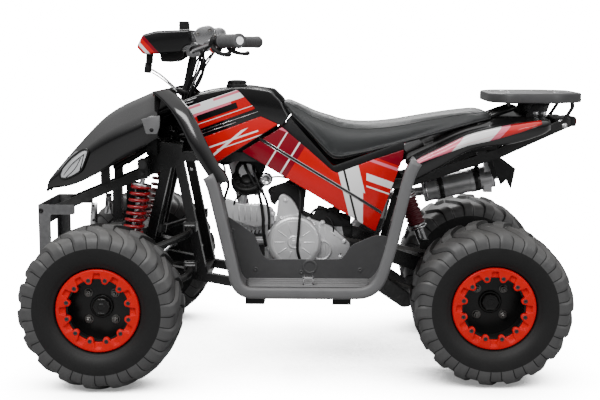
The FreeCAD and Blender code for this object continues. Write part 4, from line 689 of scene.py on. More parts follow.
# The inner wall takes the darker copy of the sheet's grey: painted shade in the tray.
wall_outline = filleted([
    (736, 256), (757, 345), (783, 462), (776, 458), (702, 408), (681, 345), (664, 331), (435, 332), (407, 377),
    (329, 410), (292, 402), (297, 389), (336, 256)], 16, 4)
for side, word in ((1, "left"), (-1, "right")):
    well = skin(f"footwell_sheet_{word}", well_rows(side), grey_plastic)
    rounded(well)
    thick(well, 4.0)
    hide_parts(f"footwell_{word}")
    fitted(f"footwell_wall_{word}", [plate(wall_outline, side * 181, side * 186)], shaded_wall_grey,
           (1.6, 2, 50), smooth=False)
print("footwell line", len(well_line), "points")

# %% [markdown]
# The saddle is padded vinyl over foam, narrow at the tank and broad where the rider sits. Its form starts as
# a closed skin a little under size; the cloth solver then blows it up, which rounds it the way foam under a
# stretched cover does.

# %% Saddle form
saddle_stations = [
    # x, base, top, half width
    (-30, 757, 764, 84), (-24, 752, 775, 104), (-6, 747, 783, 118), (30, 737, 782, 125), (101, 716, 774, 129),
    (189, 690, 761, 130), (295, 660, 743, 129), (384, 638, 739, 126), (440, 624, 746, 121),
    (470, 628, 756, 116), (500, 656, 765, 110), (528, 690, 775, 103), (560, 722, 791, 95), (590, 752, 804, 87),
    (612, 780, 813, 80), (626, 800, 817, 70)]


def saddle_row(x, base, top, half):
    depth = top - base
    section = [(0.0, 0.0), (0.55, 0.0), (0.88, 0.02), (0.97, 0.14), (1.0, 0.36), (0.985, 0.60), (0.93, 0.80),
               (0.80, 0.94), (0.55, 1.0), (0.28, 1.02), (0.0, 1.025)]
    return [at(x, side * half * y, base + depth * z)
            for side, share in ((1, section), (-1, section[-2:0:-1])) for y, z in share]


saddle = skin("saddle_cover", [saddle_row(*station) for station in smooth_line(saddle_stations, 2)], vinyl,
              solid=True)
rounded(saddle)
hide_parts("saddle")
print("saddle", len(saddle.data.vertices), "points")

# %% [markdown]
# The rear fender is a broad black moulding: a shelf under the saddle, two wings over the rear wheels with a
# rolled edge and a short skirt, and a striped band along that edge. One row of points across the machine is
# repeated along its length.

# %% Rear fender
tail_stations = smooth_line([
    # x, shelf, half width of the wing, wing top, skirt depth
    (-176, 766, 232, 757, 20), (-168, 769, 248, 760, 26), (-151, 769, 268, 760, 34), (-95, 764, 288, 753, 44),
    (-35, 757, 297, 744, 48), (20, 742, 300, 731, 40), (74, 727, 300, 716, 38), (144, 695, 300, 682, 46),
    (190, 675, 299, 660, 50), (218, 662, 296, 645, 50), (243, 650, 290, 626, 46)], 2)


def tail_row(x, shelf, half, wing, skirt):
    return across(x, [
        (0, shelf), (92, shelf), (120, shelf - 1), (132, shelf - 6), (140, wing - 4), (170, wing),
        (half - 40, wing + 3), (half - 14, wing + 2), (half - 3, wing - 3), (half, wing - 12),
        (half - 1, wing - 26), (half - 3, wing - skirt), (half - 10, wing - skirt - 2)])


rear_fender = skin("rear_fender_skin", [tail_row(*station) for station in tail_stations], gloss_black)
rounded(rear_fender)
thick(rear_fender, 4.0)
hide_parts("rear_fender")
print("rear fender", len(rear_fender.data.polygons), "faces")

# %% [markdown]
# The tyres are the largest dark forms, so their lugs are real shape. The tyre is a grid: rows follow the
# section from bead to bead, columns follow the lugs' edges, which sweep back from the middle of the tread and
# run out over the shoulder. A height for each row lifts the lugs off the casing.

# %% Tyre section and lugs
LUGS = 18
LUGS = 18
SWEEP = math.radians(13)
CROWN_EDGE, BEAD_RADIUS = 54, 103.6                     # half width of the crown; where the tyre meets the rim
FLANGE_RADIUS, LUG_ROOM = 110, 6.4                      # the rim's flange, and what the lugs add to the section
# y from the middle plane, radius, lug height, sweep: the front tyre from the tread's middle to the bead
tyre_half = [
    (0, 226, 0.0, 0.00), (3.5, 226, 0.0, 0.00), (5.5, 226, 9.4, 0.01), (20, 226, 9.5, 0.12),
    (38, 225, 9.8, 0.38), (54, 223, 9.6, 0.66), (66, 220.5, 8.4, 0.84), (76, 215.5, 6.2, 0.95),
    (82, 208, 3.8, 1.0), (85.5, 199, 2.6, 1.0), (87.3, 190, 1.6, 1.0), (88.0, 183, 0.4, 1.0),
    (88.0, 180, 0.7, 1.0), (88.3, 176, 0.0, 1.0), (87.6, 166, 0.0, 1.0), (85.6, 154, 0.0, 1.0),
    (82, 143, 0.0, 1.0), (77, 134.5, 0.0, 1.0), (72, 129.5, 0.0, 1.0), (71.5, 127, 0.0, 1.0),
    (66, 124.6, 0.0, 1.0), (60, 122.6, 0.0, 1.0), (57.6, 121.2, 0.0, 1.0), (57.6, BEAD_RADIUS, 0.0, 1.0)]
# place of each column in one lug's pitch, and the share of the lug's height there
lug_columns = [(0.00, 0.0), (0.045, 1.0), (0.10, 1.0), (0.25, 0.94), (0.40, 1.0), (0.455, 1.0),
               (0.50, 0.0), (0.56, 0.0), (0.62, 0.0), (0.75, 0.0), (0.88, 0.0), (0.94, 0.0)]
lug_shares = [share for place, share in lug_columns]
TYRE_ROWS, TYRE_COLUMNS = 2 * len(tyre_half) - 1, LUGS * len(lug_columns)
# name: middle x, middle plane y, radius, side, extra half width, body
wheels = {
    "fl": (FRONT_X, 412.0, FRONT_RADIUS, 1, 0.0, "wheel_fl"),
    "fr": (FRONT_X, 412.0, FRONT_RADIUS, -1, 0.0, "wheel_fr"),
    "rl": (REAR_X, 303.0, REAR_RADIUS, 1, 31.5, "axle"),
    "rr": (REAR_X, 303.0, REAR_RADIUS, -1, 31.5, "axle")}
# each wheel or pair of wheels: last word of its pieces' names, wheels, nodes of its tyres and rings
wheel_sets = [("left", ["fl"], "tyre_front_left", "ring_front_left"),
              ("right", ["fr"], "tyre_front_right", "ring_front_right"),
              ("rear", ["rl", "rr"], "tyres_rear", "rings_rear")]


def tyre(cx, track, radius, side, widen, body):
    """A tyre whose lugs on one half lie between those on the other."""
    grown = (radius - FLANGE_RADIUS + LUG_ROOM) / (FRONT_RADIUS - FLANGE_RADIUS + LUG_ROOM)
    half = [(y + widen if y > CROWN_EDGE else y * (CROWN_EDGE + widen) / CROWN_EDGE,
             BEAD_RADIUS + (r - BEAD_RADIUS) * grown, lift, swept) for y, r, lift, swept in tyre_half]
    rows = [(-y, *rest, 0) for y, *rest in half[::-1]] + [(y, *rest, len(lug_columns) // 2) for y,
                                                          *rest in half[1:]]
    points = []
    for i, (y, r, lift, swept, shift) in enumerate(rows):
        before, after = rows[max(i - 1, 0)], rows[min(i + 1, len(rows) - 1)]
        along = Vector((after[0] - before[0], after[1] - before[1])).normalized()
        for k in range(LUGS):
            for j, (place, share) in enumerate(lug_columns):
                height = lift * lug_shares[(j + shift) % len(lug_columns)]
                a = 2 * math.pi * (k + place) / LUGS + SWEEP * swept
                rr, yy = r + along.x * height, y - along.y * height
                points.append(at(cx + rr * math.sin(a), side * (track + yy), radius - rr * math.cos(a)))
    return points, skin_faces(TYRE_ROWS, TYRE_COLUMNS, closed=True)


for word, names, tyre_node, ring_node in wheel_sets:
    made = piece(f"lugged_{tyre_node}", *joined([tyre(*wheels[name]) for name in names]),
                 [tyre_rubber, tread_rubber], wheels[names[0]][5])
    for number, face in enumerate(made.data.polygons):
        row = number // TYRE_COLUMNS % (TYRE_ROWS - 1)
        # A narrow column of faces in every groove takes the dark sidewall rubber: painted shade in the grooves.
        painted_groove_shade = number % TYRE_COLUMNS % len(lug_columns) in (0, 5)
        face.material_index = int(12 <= row < TYRE_ROWS - 13 and not painted_groove_shade)
    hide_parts(tyre_node)
print("tyre points", len(made.data.vertices))
# the ring steps back, which is what gives the wheel its cog-like look. The pads' edges are slanted.

# %% Bead rings
# %% Bead rings
LOBES = 12
BOLT_RADIUS, NUT_RADIUS = 90, 55
# place across a pad, from edge to edge; the last column lies halfway to the next pad
pad_columns = [-1.0, -0.93, -0.6, -0.3, 0.0, 0.3, 0.6, 0.93, 1.0]
PAD_TOP, PAD_FOOT = 11.4, 4.6
# row's radius, measured from the inner edge or from the middle, and the share of the pad's height
ring_rows = [("in", 0.0, 0.0), ("in", 0.0, 0.86), ("in", 1.3, 1.0), ("out", 96.0, 1.0), ("out", 106.5, 1.0),
             ("out", 109.5, 1.0), ("out", 117.4, 1.0), ("out", 119.4, 0.84), ("out", 120.4, 0.55),
             ("out", 120.4, 0.0)]
bolt_cup = [(6.4, -0.6), (6.4, 0.5), (5.8, 0.9), (4.4, 0.9), (4.0, 0.5), (0, 0.5)]
washer = [(13, 2.6), (13, 4.0), (9.8, 4.2)]
wheel_nut = [(10.8, 4), (10.8, 14.6), (9.4, 16.0), (5.5, 16.2), (5.2, 20), (3.6, 21), (0, 21)]
hub_collar = [(34, 2.8), (34, 7), (31, 9), (27.5, 9)]
hub_cap = [(27.6, 8), (27.6, 17), (25.4, 20.4), (20, 20.6), (19, 19.2), (12, 19.2), (11, 20.6), (0, 20.9)]
valve = [(4.2, 2), (4.2, 12), (3.2, 13), (3.2, 26), (2.4, 27), (0, 27)]


def pad_angle(place, radius):
    """Angle from the lobe's middle: the pad widens towards the ring's outer edge."""
    return place * math.radians(7.6 + 4.2 * (radius - 80) / 40)


def ring_inner(angle):
    """Radius of the ring's inner edge, which runs round each bolt."""
    off = BOLT_RADIUS * math.sin(angle)
    return BOLT_RADIUS * math.cos(angle) - math.sqrt(121 - off * off) if abs(off) < 10.9 else 91.5


def bead_ring(cx, track, cz, side, bead):
    points = []
    for kind, value, share in ring_rows:
        angles = [(pad_angle(place, value if kind == "out" else 84), abs(place) < 1) for place in pad_columns]
        for k in range(LOBES):
            for angle, raised in angles + [(math.pi / LOBES, False)]:
                radius = value if kind == "out" else ring_inner(angle) + value
                y = bead + 0.4 + (PAD_TOP if raised or radius > 108 else PAD_FOOT) * share
                points.append(on_circle(cx, side * (track + y), cz, radius,
                                        2 * math.pi * (k + 0.5) / LOBES + angle))
    return points, skin_faces(len(ring_rows), LOBES * (len(pad_columns) + 1), closed=True)


def on_wheel(profile, name, radius, angle, segments=6, phase=0.0):
    cx, track, cz, side = wheels[name][:4]
    return lathe(profile, on_circle(cx, side * track, cz, radius, angle), (0, side, 0), segments, phase)


for word, names, tyre_node, ring_node in wheel_sets:
    body = wheels[names[0]][5]
    beads = {name: 58.0 + wheels[name][4] for name in names}
    made = fitted(f"lobed_{ring_node}", [bead_ring(*wheels[name][:4], beads[name]) for name in names], ring_red,
                  (0.7, 1, 28), body)
    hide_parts(ring_node)
    bolts, nuts, dark = [], [], []
    for name in names:
        cup = [(r, along + beads[name] + 11.8) for r, along in bolt_cup]
        bolts += [on_wheel(cup, name, BOLT_RADIUS + 1.0, 2 * math.pi * (k + 0.5) / LOBES,
                           12) for k in range(LOBES)]
        for k in range(4):
            a = math.pi / 2 * (k + 0.5)
            nuts += [on_wheel(washer, name, NUT_RADIUS, a, 20),
                     on_wheel(wheel_nut, name, NUT_RADIUS, a, 6, 0.3 * k)]
        dark += [on_wheel(hub_collar, name, 0, 0, 32), on_wheel(hub_cap, name, 0, 0),
                 on_wheel(valve, name, 82, 1.25, 12)]
    for label, shapes, material, slot in (("bolts", bolts, black_paint, "frame_black"),
                                          ("nuts", nuts, dark_steel, "chain_steel"),
                                          ("hub", dark, rim_black, "rim_black")):
        fitted(f"wheel_{label}_{word}", shapes, material, (0.5, 1, 40), body, smooth=False)
print("bead rings and bolts done")

# %% [markdown]
# The printed panels carry slanted bands of white, pink and maroon over red. A band is the strip between two
# parallel lines, and a second pair of lines can cut it short, so a short list of bands draws a whole print.
# The lines are given in millimetres in the side view, and every print is this machine's own.

# %% Striped prints
def unit(direction):
    dx, dz = direction
    length = math.hypot(dx, dz)
    return dx / length, dz / length


def distance(direction, place):
    """How far a point (x, z) lies along a direction; a number stays as it is."""
    if not isinstance(place, tuple):
        return place
    dx, dz = unit(direction)
    return dx * place[0] + dz * place[1]


def strip_mask(tree, direction, low, high):
    """Mask of the strip between two distances along a direction."""
    place = add_node(tree, "TexCoord")
    split = add_node(tree, "SeparateXYZ")
    tree.links.new(place.outputs["Object"], split.inputs[0])
    dx, dz = unit(direction)
    along = math_node(tree, "ADD", math_node(tree, "MULTIPLY", split.outputs["X"], dx),
                      math_node(tree, "MULTIPLY", split.outputs["Z"], dz))
    start, end = [(distance(direction, edge) - dx * MIDDLE) / 1000 for edge in (low, high)]
    rise = math_node(tree, "MULTIPLY", math_node(tree, "SUBTRACT", along, start), 1000 / SOFT, True)
    fall = math_node(tree, "MULTIPLY", math_node(tree, "SUBTRACT", end, along), 1000 / SOFT, True)
    return math_node(tree, "MULTIPLY", rise, fall)


def printed(base, bands):
    """Pattern for a finish: the base colour with bands over it."""
    def build(tree):
        colour = base
        for strips, shade in bands:
            mask = strip_mask(tree, *strips[0])
            for strip in strips[1:]:
                mask = math_node(tree, "MULTIPLY", mask, strip_mask(tree, *strip))
            colour = mix_colour(tree, mask, colour, shade)
        return colour
    return build


RED, DEEP, WHITE, PINK = (0.60, 0.0, 0.002), (0.22, 0.0, 0.010), (0.93, 0.92, 0.92), (0.80, 0.17, 0.25)
BLACK = (0.004, 0.004, 0.0045)
SOFT, EVERYWHERE = 1.2, 4000.0             # width of a band's soft edge; a distance beyond every panel
slope, rise = (-0.946, 0.325), (0.325, 0.946)      # down the upper panels' long edges and to the rear; across
fall = (-0.849, -0.528)                            # along the side panel's groove
back, tilt = (-1, 0.25), (-0.35, 1)                # to the rear, slightly upward; up, slightly to the rear
top_edge, low_edge = distance(rise, (934, 788)), distance(rise, (684, 767))
top_band = (rise, top_edge - 30, top_edge + 20)
upper_print = printed(RED, [
    ([top_band], WHITE),
    ([(rise, top_edge - 12, top_edge - 3), (slope, -700, -560)], PINK),
    ([(rise, top_edge - 12, top_edge - 3), (slope, -520, -430)], PINK),
    ([(rise, top_edge - 40, top_edge - 30), (slope, -640, -470)], PINK),
    ([(rise, top_edge - 56, top_edge - 36), (slope, -585, -455)], BLACK),
    ([(rise, top_edge - 64, top_edge - 61)], WHITE),
    ([(slope, -400, -352)], RED),
    ([(slope, -640, -628), top_band], RED),
    ([(slope, -615, -607), top_band], RED)])
lower_print = printed(RED, [
    ([(rise, low_edge - 42, low_edge - 36), (slope, -590, -420)], WHITE),
    ([(rise, low_edge - 56, low_edge - 52), (slope, -560, -390)], WHITE),
    ([((1, 1.2), (815, 655), (822, 660)), (rise, low_edge - 90, low_edge - 20)], WHITE),
    ([(rise, low_edge - 160, low_edge - 86)], DEEP)])
side_print = printed(RED, [
    ([(fall, -EVERYWHERE, (570, 640))], DEEP),
    ([(fall, (640, 665), (636, 661))], WHITE),
    ([(fall, (592, 650), (587, 646))], WHITE),
    ([(back, (440, 560), (372, 560))], WHITE),
    ([(back, (424, 560), (416, 560))], BLACK),
    ([(tilt, (335, 622), (335, 633))], PINK),
    ([(tilt, (335, 640), EVERYWHERE), ((-1, 0), -372, 0)], DEEP),
    ([(tilt, (335, 560), (335, 584)), ((-1, 0), -362, 0)], WHITE),
    ([(tilt, (335, 540), (335, 546)), ((-1, 0), -362, 0)], WHITE),
    ([(tilt, -EVERYWHERE, (335, 520)), ((-1, 0), -372, 0)], RED)])
upper_finish = finish("upper_print", RED, 0.18, coat=0.2, dust=0.02, shine=0.35, pattern=upper_print)
lower_finish = finish("lower_print", RED, 0.18, coat=0.2, dust=0.02, shine=0.35, pattern=lower_print)
side_finish = finish("side_print", RED, 0.20, coat=0.2, dust=0.02, shine=0.35, pattern=side_print)
print("prints ready")

# %% [markdown]
# Behind the printed panels lies a thick black shell that rises to the tank cover and frames them. The panels
# have rounded corners and stand a little proud, so their edges catch the light.

# %% Tank skin and panels
shell_outline = [(936, 787), (930, 812), (872, 834), (775, 852), (735, 853), (657, 842), (626, 812), (600, 763),
                 (621, 736), (631, 741), (823, 618), (880, 705)]
fitted("tank_shell", [plate(corners(shell_outline, 9), 104, 143)], gloss_black, (5, 3),
       both=True)
upper = fitted("upper_panel", [plate(corners([(932, 787), (756, 847), (701, 789), (888, 721)], 6), 141, 149)],
               upper_finish, (2.2, 2), both=True)
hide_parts("shrouds")
fitted("lower_panel", [plate(corners([(871, 698), (685, 766), (632, 742), (822, 624)], 6), 141, 150)],
       lower_finish, (2.2, 2), both=True)
side_outline = corners([(621, 733), (540, 664), (467, 599), (452, 592), (436, 598), (340, 634), (248, 665),
                        (250, 640), (333, 411), (744, 658)], 5)
side_panel = fitted("side_panel", [plate(side_outline, 129, 137)], side_finish, (2.2, 2), both=True)
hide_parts("side_panels")
base_outline = corners([(598, 762), (536, 692), (464, 612), (352, 652), (248, 690), (246, 664), (340, 634),
                        (436, 596), (462, 592), (541, 662), (621, 734)], 6)
fitted("seat_base", [plate(base_outline, 112, 133)], black_plastic, (4, 2), both=True)

# %% [markdown]
# Thin bright lines edge the groove in the side panel and the black strips between the panels. They are real
# beads that stand a millimetre proud.

# %% Groove, trim beads and tank cover
groove_line = [(690, 698), (600, 643), (500, 583), (400, 523), (314, 470)]
groove = [(x, z + 4) for x, z in groove_line] + [(x, z - 4) for x, z in groove_line[::-1]]
fitted("panel_groove", [plate(groove, 134, 137.8)], gloss_black, smooth=False, both=True)
beads = []
for line, y in (([(x, z + 4.5) for x, z in groove_line], 137.5),
                ([(x, z - 4.5) for x, z in groove_line], 137.5), ([(887, 715), (692, 781)], 147),
                ([(882, 707), (760, 748)], 147), ([(930, 806), (880, 823)], 147),
                ([(928, 799), (890, 812)], 147)):
    beads.append(sweep([at(x, y, z) for x, z in line], 1.3, 6))
fitted("trim_beads", beads, bright_steel, both=True)
cover_rows = []
for x, half, top in smooth_line([(957, 52, 800), (940, 70, 816), (900, 88, 832), (850, 98, 845),
                                 (790, 106, 852), (735, 108, 853), (690, 106, 849), (660, 100, 838),
                                 (648, 92, 822), (646, 88, 802)], 2):
    section = [(0, 0), (0.45, -1), (0.70, -5), (0.88, -14), (0.98, -32), (1.0, -70)]
    row = [(y * half, max(top + dz, 702)) for y, dz in section] + [(half, 702)]
    cover_rows.append(across(x, row))
cover = skin("tank_cover_skin", cover_rows, gloss_black)
slot_end = at(895, 0, 0).x
for corner in cover.data.vertices:      # the column's slot, wide enough for the cables at full lock
    if corner.co.x > slot_end and abs(corner.co.y) < mm(50):
        corner.co.x = slot_end
rounded(cover)
thick(cover, 3, -1)
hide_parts("tank_cover")
cap = [lathe([(34, -8), (34, 6), (31, 10), (29, 10.5), (29, 17), (27, 21), (12, 23), (0, 23)],
             at(770, 0, 850), (0, 0, 1), 32)]
for a in around(12):
    x, y = 770 + 29 * math.cos(a), 29 * math.sin(a)
    cap.append(sweep([at(x, y, 861), at(x, y, 869)], 2.4, 6))
fitted("fuel_cap", cap, black_plastic, (0.6, 1))
print("panels done")

# %% [markdown]
# The handlebar cluster is small but busy: ribbed grips, clamps with screws, bright housings, levers with a
# ball end, a cowl over the middle with a dial on top, and cables that drop to the column. All of it turns with
# the steering, so every piece rides on that body.

# %% Grips and clamps
grip_inner, grip_end = at(786, 250, 993), at(727, 372, 993)
grip_run = (grip_end - grip_inner).normalized()
ribs = [(radius, along + 11.5 * k) for k in range(9)
        for radius, along in ((18.2, 12), (19.5, 13.5), (19.5, 20), (18.2, 21.5))]
grip_profile = [(11.2, -1), (22, -1), (22.4, 1), (22, 4), (18.4, 7)] + ribs + [
    (18.4, 117), (20.6, 119), (21, 122), (21, 129), (19.6, 133), (12, 135.6), (9, 133), (0, 133)]
grips = fitted("ribbed_grips", [lathe(grip_profile, grip_inner, grip_run, 32)], grip_rubber,
               body="steering", both=True)
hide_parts("grips")

clamps = []
for along, radius, width in ((-16, 21, 12), (-34, 19, 14), (-50, 16, 10)):
    end = along + width
    clamps.append(lathe([(11.2, along), (radius - 1.5, along), (radius, along + 1.5), (radius, end - 1.5),
                         (radius - 1.5, end), (11.2, end)], grip_inner, grip_run, 28))
clamp_spot = grip_inner - grip_run * mm(28)
def from_clamp(*offsets):
    return [clamp_spot + Vector((mm(dx), mm(dy), mm(dz))) for dx, dy, dz in offsets]


clamps.append(sweep(from_clamp((0, 0, 0), (22, -4, 4), (27, 0, -14)), [13, 12, 9], 12))
clamps.append(sweep(from_clamp((0, 0, -15), (4, 0, -30)), [9, 7], 12))
screws = [lathe(hexagon(4.2, 6), spot, (0, 1, 0.3), 6) for spot in from_clamp((14, 0, 15), (-10, 0, 17))]
lever_line = from_clamp((24, -4, -8), (18, 10, -24), (2, 34, -34), (-14, 66, -39), (-28, 98, -40),
                        (-36, 116, -38))
lever_ball = [(0, -8.5), (5.5, -6.5), (8.2, -2.5), (8.2, 2.5), (5.5, 6.5), (0, 8.5)]
levers = [sweep(lever_line, [7, 8, 7, 6, 6.5, 8.5], 12),
          lathe(lever_ball, lever_line[-1], lever_line[-1] - lever_line[-2], 14)]
controls = fitted("clamps_and_levers", clamps + levers, black_plastic, body="steering",
                  both=True)
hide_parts("controls")

# %% [markdown]
# Each bright housing is a rounded plate with two dark screws on its outer face; a small red switch sits under
# it. Two clamps with four bolts hold the bar on the column.

# %% Housings, switch and bar clamps
housing_outline = corners([(884, 1016), (872, 1034), (836, 1042), (817, 1028), (822, 1002), (846, 978),
                           (874, 984)], 14)
fitted("housings", [plate(housing_outline, 146, 170)], bright_steel, (2.5, 3), "steering",
       both=True)
housing_screw = [(6.0, 0), (6.0, 1.5), (5.2, 2.3), (3, 2.3), (2.8, 1), (0, 1)]
screws += [lathe(housing_screw, at(x, 170, z), ALONG_Y, 16) for x, z in ((835, 1026), (872, 1014))]
clamp_outline = corners([(885, 946), (924, 946), (928, 982), (918, 990), (894, 990), (884, 980)], 7)
bar_clamps = [plate(clamp_outline, y, y + 18) for y in (-30, 12)]
fitted("bar_clamps", bar_clamps, engine_silver, (1.5, 2), "steering")
for x in (890, 919):
    screws.append(lathe([(5, 0), (5, 4.5), (4.2, 5.2), (0, 5.2)], at(x, 21, 988), (0, 0, 1), 12))
fitted("cluster_screws", screws, dark_steel, body="steering", both=True)
switch_profile = [(0, -9), (7, -9), (8, -7), (8, 7), (7, 9), (0, 9)]
fitted("red_switch", [lathe(switch_profile, at(823, 196, 966), (0.2, 1, 0), 16)], ring_red,
       body="steering")

# %% [markdown]
# The cowl is a wedge-shaped box with soft edges. Its lower front edge is printed with a fade from white through
# red to black. The dial on top is a ridged block.

# %% Cowl and dial
nose = (1, -0.9)                 # forward and down
cowl_print = printed(BLACK, [
    ([(nose, (1012, 972), EVERYWHERE)], DEEP),
    ([(nose, (1024, 972), EVERYWHERE)], RED),
    ([(nose, (1040, 970), (1054, 970))], WHITE)])
cowl_finish = finish("cowl_print", RED, 0.22, coat=0.2, dust=0.03, shine=0.35, pattern=cowl_print)
cowl_outline = corners([(1050, 1014), (1008, 1025), (903, 1029), (898, 984), (922, 978), (935, 958),
                        (1050, 953), (1070, 976)], 8)
cowl = fitted("cowl", [plate(cowl_outline, -104, 104)], cowl_finish, (7, 3), "steering")
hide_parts("handlebar_pad")
dial_parts = [plate(corners([(919, 1026), (950, 1026), (949, 1056), (921, 1056)], 3), -15, 15)]
for k in range(5):
    low, high = 1031 + 5 * k, 1033.4 + 5 * k
    dial_parts.append(plate([(918, low), (951, low), (951, high), (918, high)], -16, 16))
fitted("dial", dial_parts, black_plastic, (0.8, 1), "steering", smooth=False)
ear_outline = corners([(1000, 930), (960, 928), (930, 946), (930, 966), (1004, 966)], 8)
under = [plate(corners([(1052, 926), (1032, 924), (1030, 956), (1050, 956)], 4), 22, 44),
         plate(corners([(1060, 896), (1040, 893), (1036, 924), (1056, 928)], 4), 10, 34),
         sweep(curve([(1042, 28, 930), (1046, 24, 922), (1048, 22, 912)]), 4, 8),
         plate(ear_outline, -70, -56), plate(ear_outline, 56, 70)]
fitted("under_cowl", under, black_plastic, (1.5, 2), "steering")

# %% [markdown]
# Cables and hoses fall from the clamps in loose curves and gather at the column. Two of them are bare steel.

# %% Cables
dark_lines = []
for offset, start in ((-9, (822, 206, 984)), (0, (830, 190, 980)), (8, (838, 176, 976))):
    line = [start, (start[0] + 26, start[1] - 42, 962 - offset), (878 + offset, 92, 932),
            (896 + offset, 46, 894), (918 + offset, 27, 846), (934 + offset, 22, 786),
            (948 + offset / 2, 18, 722), (953, 17, 700)]
    dark_lines.append(sweep(curve(line), 3.1, 8))
dark_lines += [opposite(line) for line in dark_lines[:2]]
for radius, line in (
        (5.0, [(880, 50, 972), (868, 40, 930), (880, 34, 880), (906, 26, 840), (934, -8, 800)]),
        (4.2, [(902, -60, 960), (884, -48, 915), (892, -36, 868), (920, -22, 824), (940, -18, 770)])):
    dark_lines.append(sweep(curve(line), radius))
bright_lines = [sweep(curve(line, steps), radius, 8) for radius, steps, line in (
    (2.8, 6, [(872, 60, 985), (866, 66, 950), (884, 58, 905), (905, 36, 862), (926, 20, 818)]),
    (3.2, 5, [(1036, 20, 905), (1010, 26, 890), (984, 26, 868), (958, 20, 842)]),
    (2.4, 5, [(1034, 30, 896), (1008, 34, 880), (982, 34, 860), (956, 24, 834)]))]
cable_piece = fitted("cable_bundle", dark_lines, black_plastic, body="steering")
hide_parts("cables")
fitted("steel_lines", bright_lines, bright_steel, body="steering")
collars = []
for z in (700, 770, 835):
    x = 936 - (z - 818) * math.tan(math.radians(12))
    collars.append(lathe([(13, -7), (27, -7), (29, -5), (29, 5), (27, 7), (13, 7)], at(x, 0, z),
                         (-0.208, 0, 0.978), 24))
fitted("cable_collars", collars, black_plastic, body="steering")
print("handlebar cluster done")

# %% [markdown]
# The engine's cases come from CAD. This lesson adds what makes them read as castings: bolt bosses round the
# covers, gasket lines, ribs, the plug, the dark cap of the starter, and the hoses and wires that cross it.

# %% Covers, bolts and ribs
CRANK_X, CRANK_Z, CLUTCH_X, CLUTCH_Z = 584, 372, 500, 345
bosses, engine_bolts = [], []


def cover_bolts(x, z, radius, y, count, phase, size=5.0):
    for k, a in enumerate(around(count, phase)):
        spot = on_circle(x, y, z, radius, a)
        bosses.append(lathe([(size + 4, -30), (size + 4, -1.5), (size + 2.5, 0), (0, 0)], spot, ALONG_Y, 16))
        engine_bolts.append(lathe(hexagon(size, 5), spot, ALONG_Y, 6, 0.4 * k))


cover_bolts(CRANK_X, CRANK_Z, 81, 104, 9, 0.35)
cover_bolts(CLUTCH_X, CLUTCH_Z, 62, 93, 6, 0.2, 4.4)
gaskets = [lathe([(radius, 0), (outer, 0.3), (outer, 2.2), (radius, 2.5)], at(x, 62.5, z), ALONG_Y, steps)
           for radius, outer, x, z, steps in ((85, 86.2, CRANK_X, CRANK_Z, 64),
                                              (67, 68, CLUTCH_X, CLUTCH_Z, 56))]
cover_ribs = [sweep([on_circle(CRANK_X, 118.4, CRANK_Z, r, a) for r in (30, 62)], [2.4, 1.6], 6)
              for a in around(10)]
for profile, x, y, z, steps in (
        ([(22, -3), (22, 1.5), (20, 3), (15, 3.4), (14, 2.0), (0, 2.0)], CRANK_X, 118, CRANK_Z, 32),
        (hexagon(9, 5), CRANK_X, 120, CRANK_Z, 6),
        ([(66, -4), (68, -1), (68, 0.8), (66, 1.6), (64, 0)], CRANK_X, 117, CRANK_Z, 56),
        ([(30, -3), (32, 0), (31, 2.0), (29, 2.4), (27, 0)], CLUTCH_X, 101.5, CLUTCH_Z, 40)):
    cover_ribs.append(lathe(profile, at(x, y, z), ALONG_Y, steps))
for x, top in ((430, 360), (444, 356), (458, 353), (655, 360), (668, 364)):
    cover_ribs.append(plate([(x - 2, 272), (x + 2, 272), (x + 2, top), (x - 2, top)], 58, 66))
fitted("cast_details", bosses + cover_ribs, engine_silver, (1.2, 2))
fitted("engine_bolts", engine_bolts, bright_steel, (0.5, 1), smooth=False)
fitted("gaskets", gaskets, dark_steel)

# %% [markdown]
# Above the cases sit the starter's dark cap, the round air filter with its pleats and clamp, and a bright
# breather. Hoses run down in front of the barrel and a wire drops over the crank cover.

# %% Filter, hoses and wires
FILTER_X, FILTER_Z = 735, 585
rubber_parts = [
    lathe([(31, -6), (32, -4), (32, 10), (30, 14), (24, 17), (10, 18), (0, 18)], at(585, 0, 536), UPWARD, 32),
    lathe([(9, 0), (9, 16), (7, 18), (0, 18)], at(585, 6, 553), (0.3, 0.5, 0.8), 14)]
for a in around(16):
    rubber_parts.append(sweep([on_circle(FILTER_X, y, FILTER_Z, 38.3, a) for y in (-6, 26)], 2.6, 6))
rubber_parts.append(lathe([(39, 24), (41, 26), (41, 34), (38, 40), (30, 43), (27, 41), (20, 41), (0, 42)],
                          at(FILTER_X, 0, FILTER_Z), ALONG_Y, 40))
hose_lines = [
    ([(744, 40, 620), (738, 66, 600), (716, 78, 560), (694, 80, 510), (684, 82, 450), (682, 84, 396),
      (676, 80, 352)], 5.0),
    ([(720, 34, 616), (712, 70, 590), (696, 88, 548), (672, 90, 498), (664, 92, 446), (664, 92, 396),
      (654, 88, 352)], 4.2),
    ([(590, 12, 566), (578, 60, 560), (566, 104, 528), (566, 122, 470), (570, 126, 410), (574, 124, 352),
      (566, 116, 316)], 4.4),
    ([(600, 20, 560), (640, 64, 572), (690, 80, 560), (740, 78, 524), (770, 74, 500), (778, 60, 470)], 3.0),
    ([(540, 60, 440), (520, 80, 470), (486, 86, 474), (450, 84, 452), (428, 78, 424)], 4.0),
    ([(500, 70, 452), (472, 92, 440), (462, 96, 408), (474, 92, 380)], 3.2),
    ([(800, 30, 470), (806, 60, 500), (792, 82, 548), (806, 92, 590), (838, 94, 612)], 4.6),
    ([(836, 60, 640), (812, 92, 622), (800, 100, 592), (812, 104, 556), (842, 96, 540)], 3.4)]
hose_parts = [sweep(curve(line, 6), radius, 10) for line, radius in hose_lines]
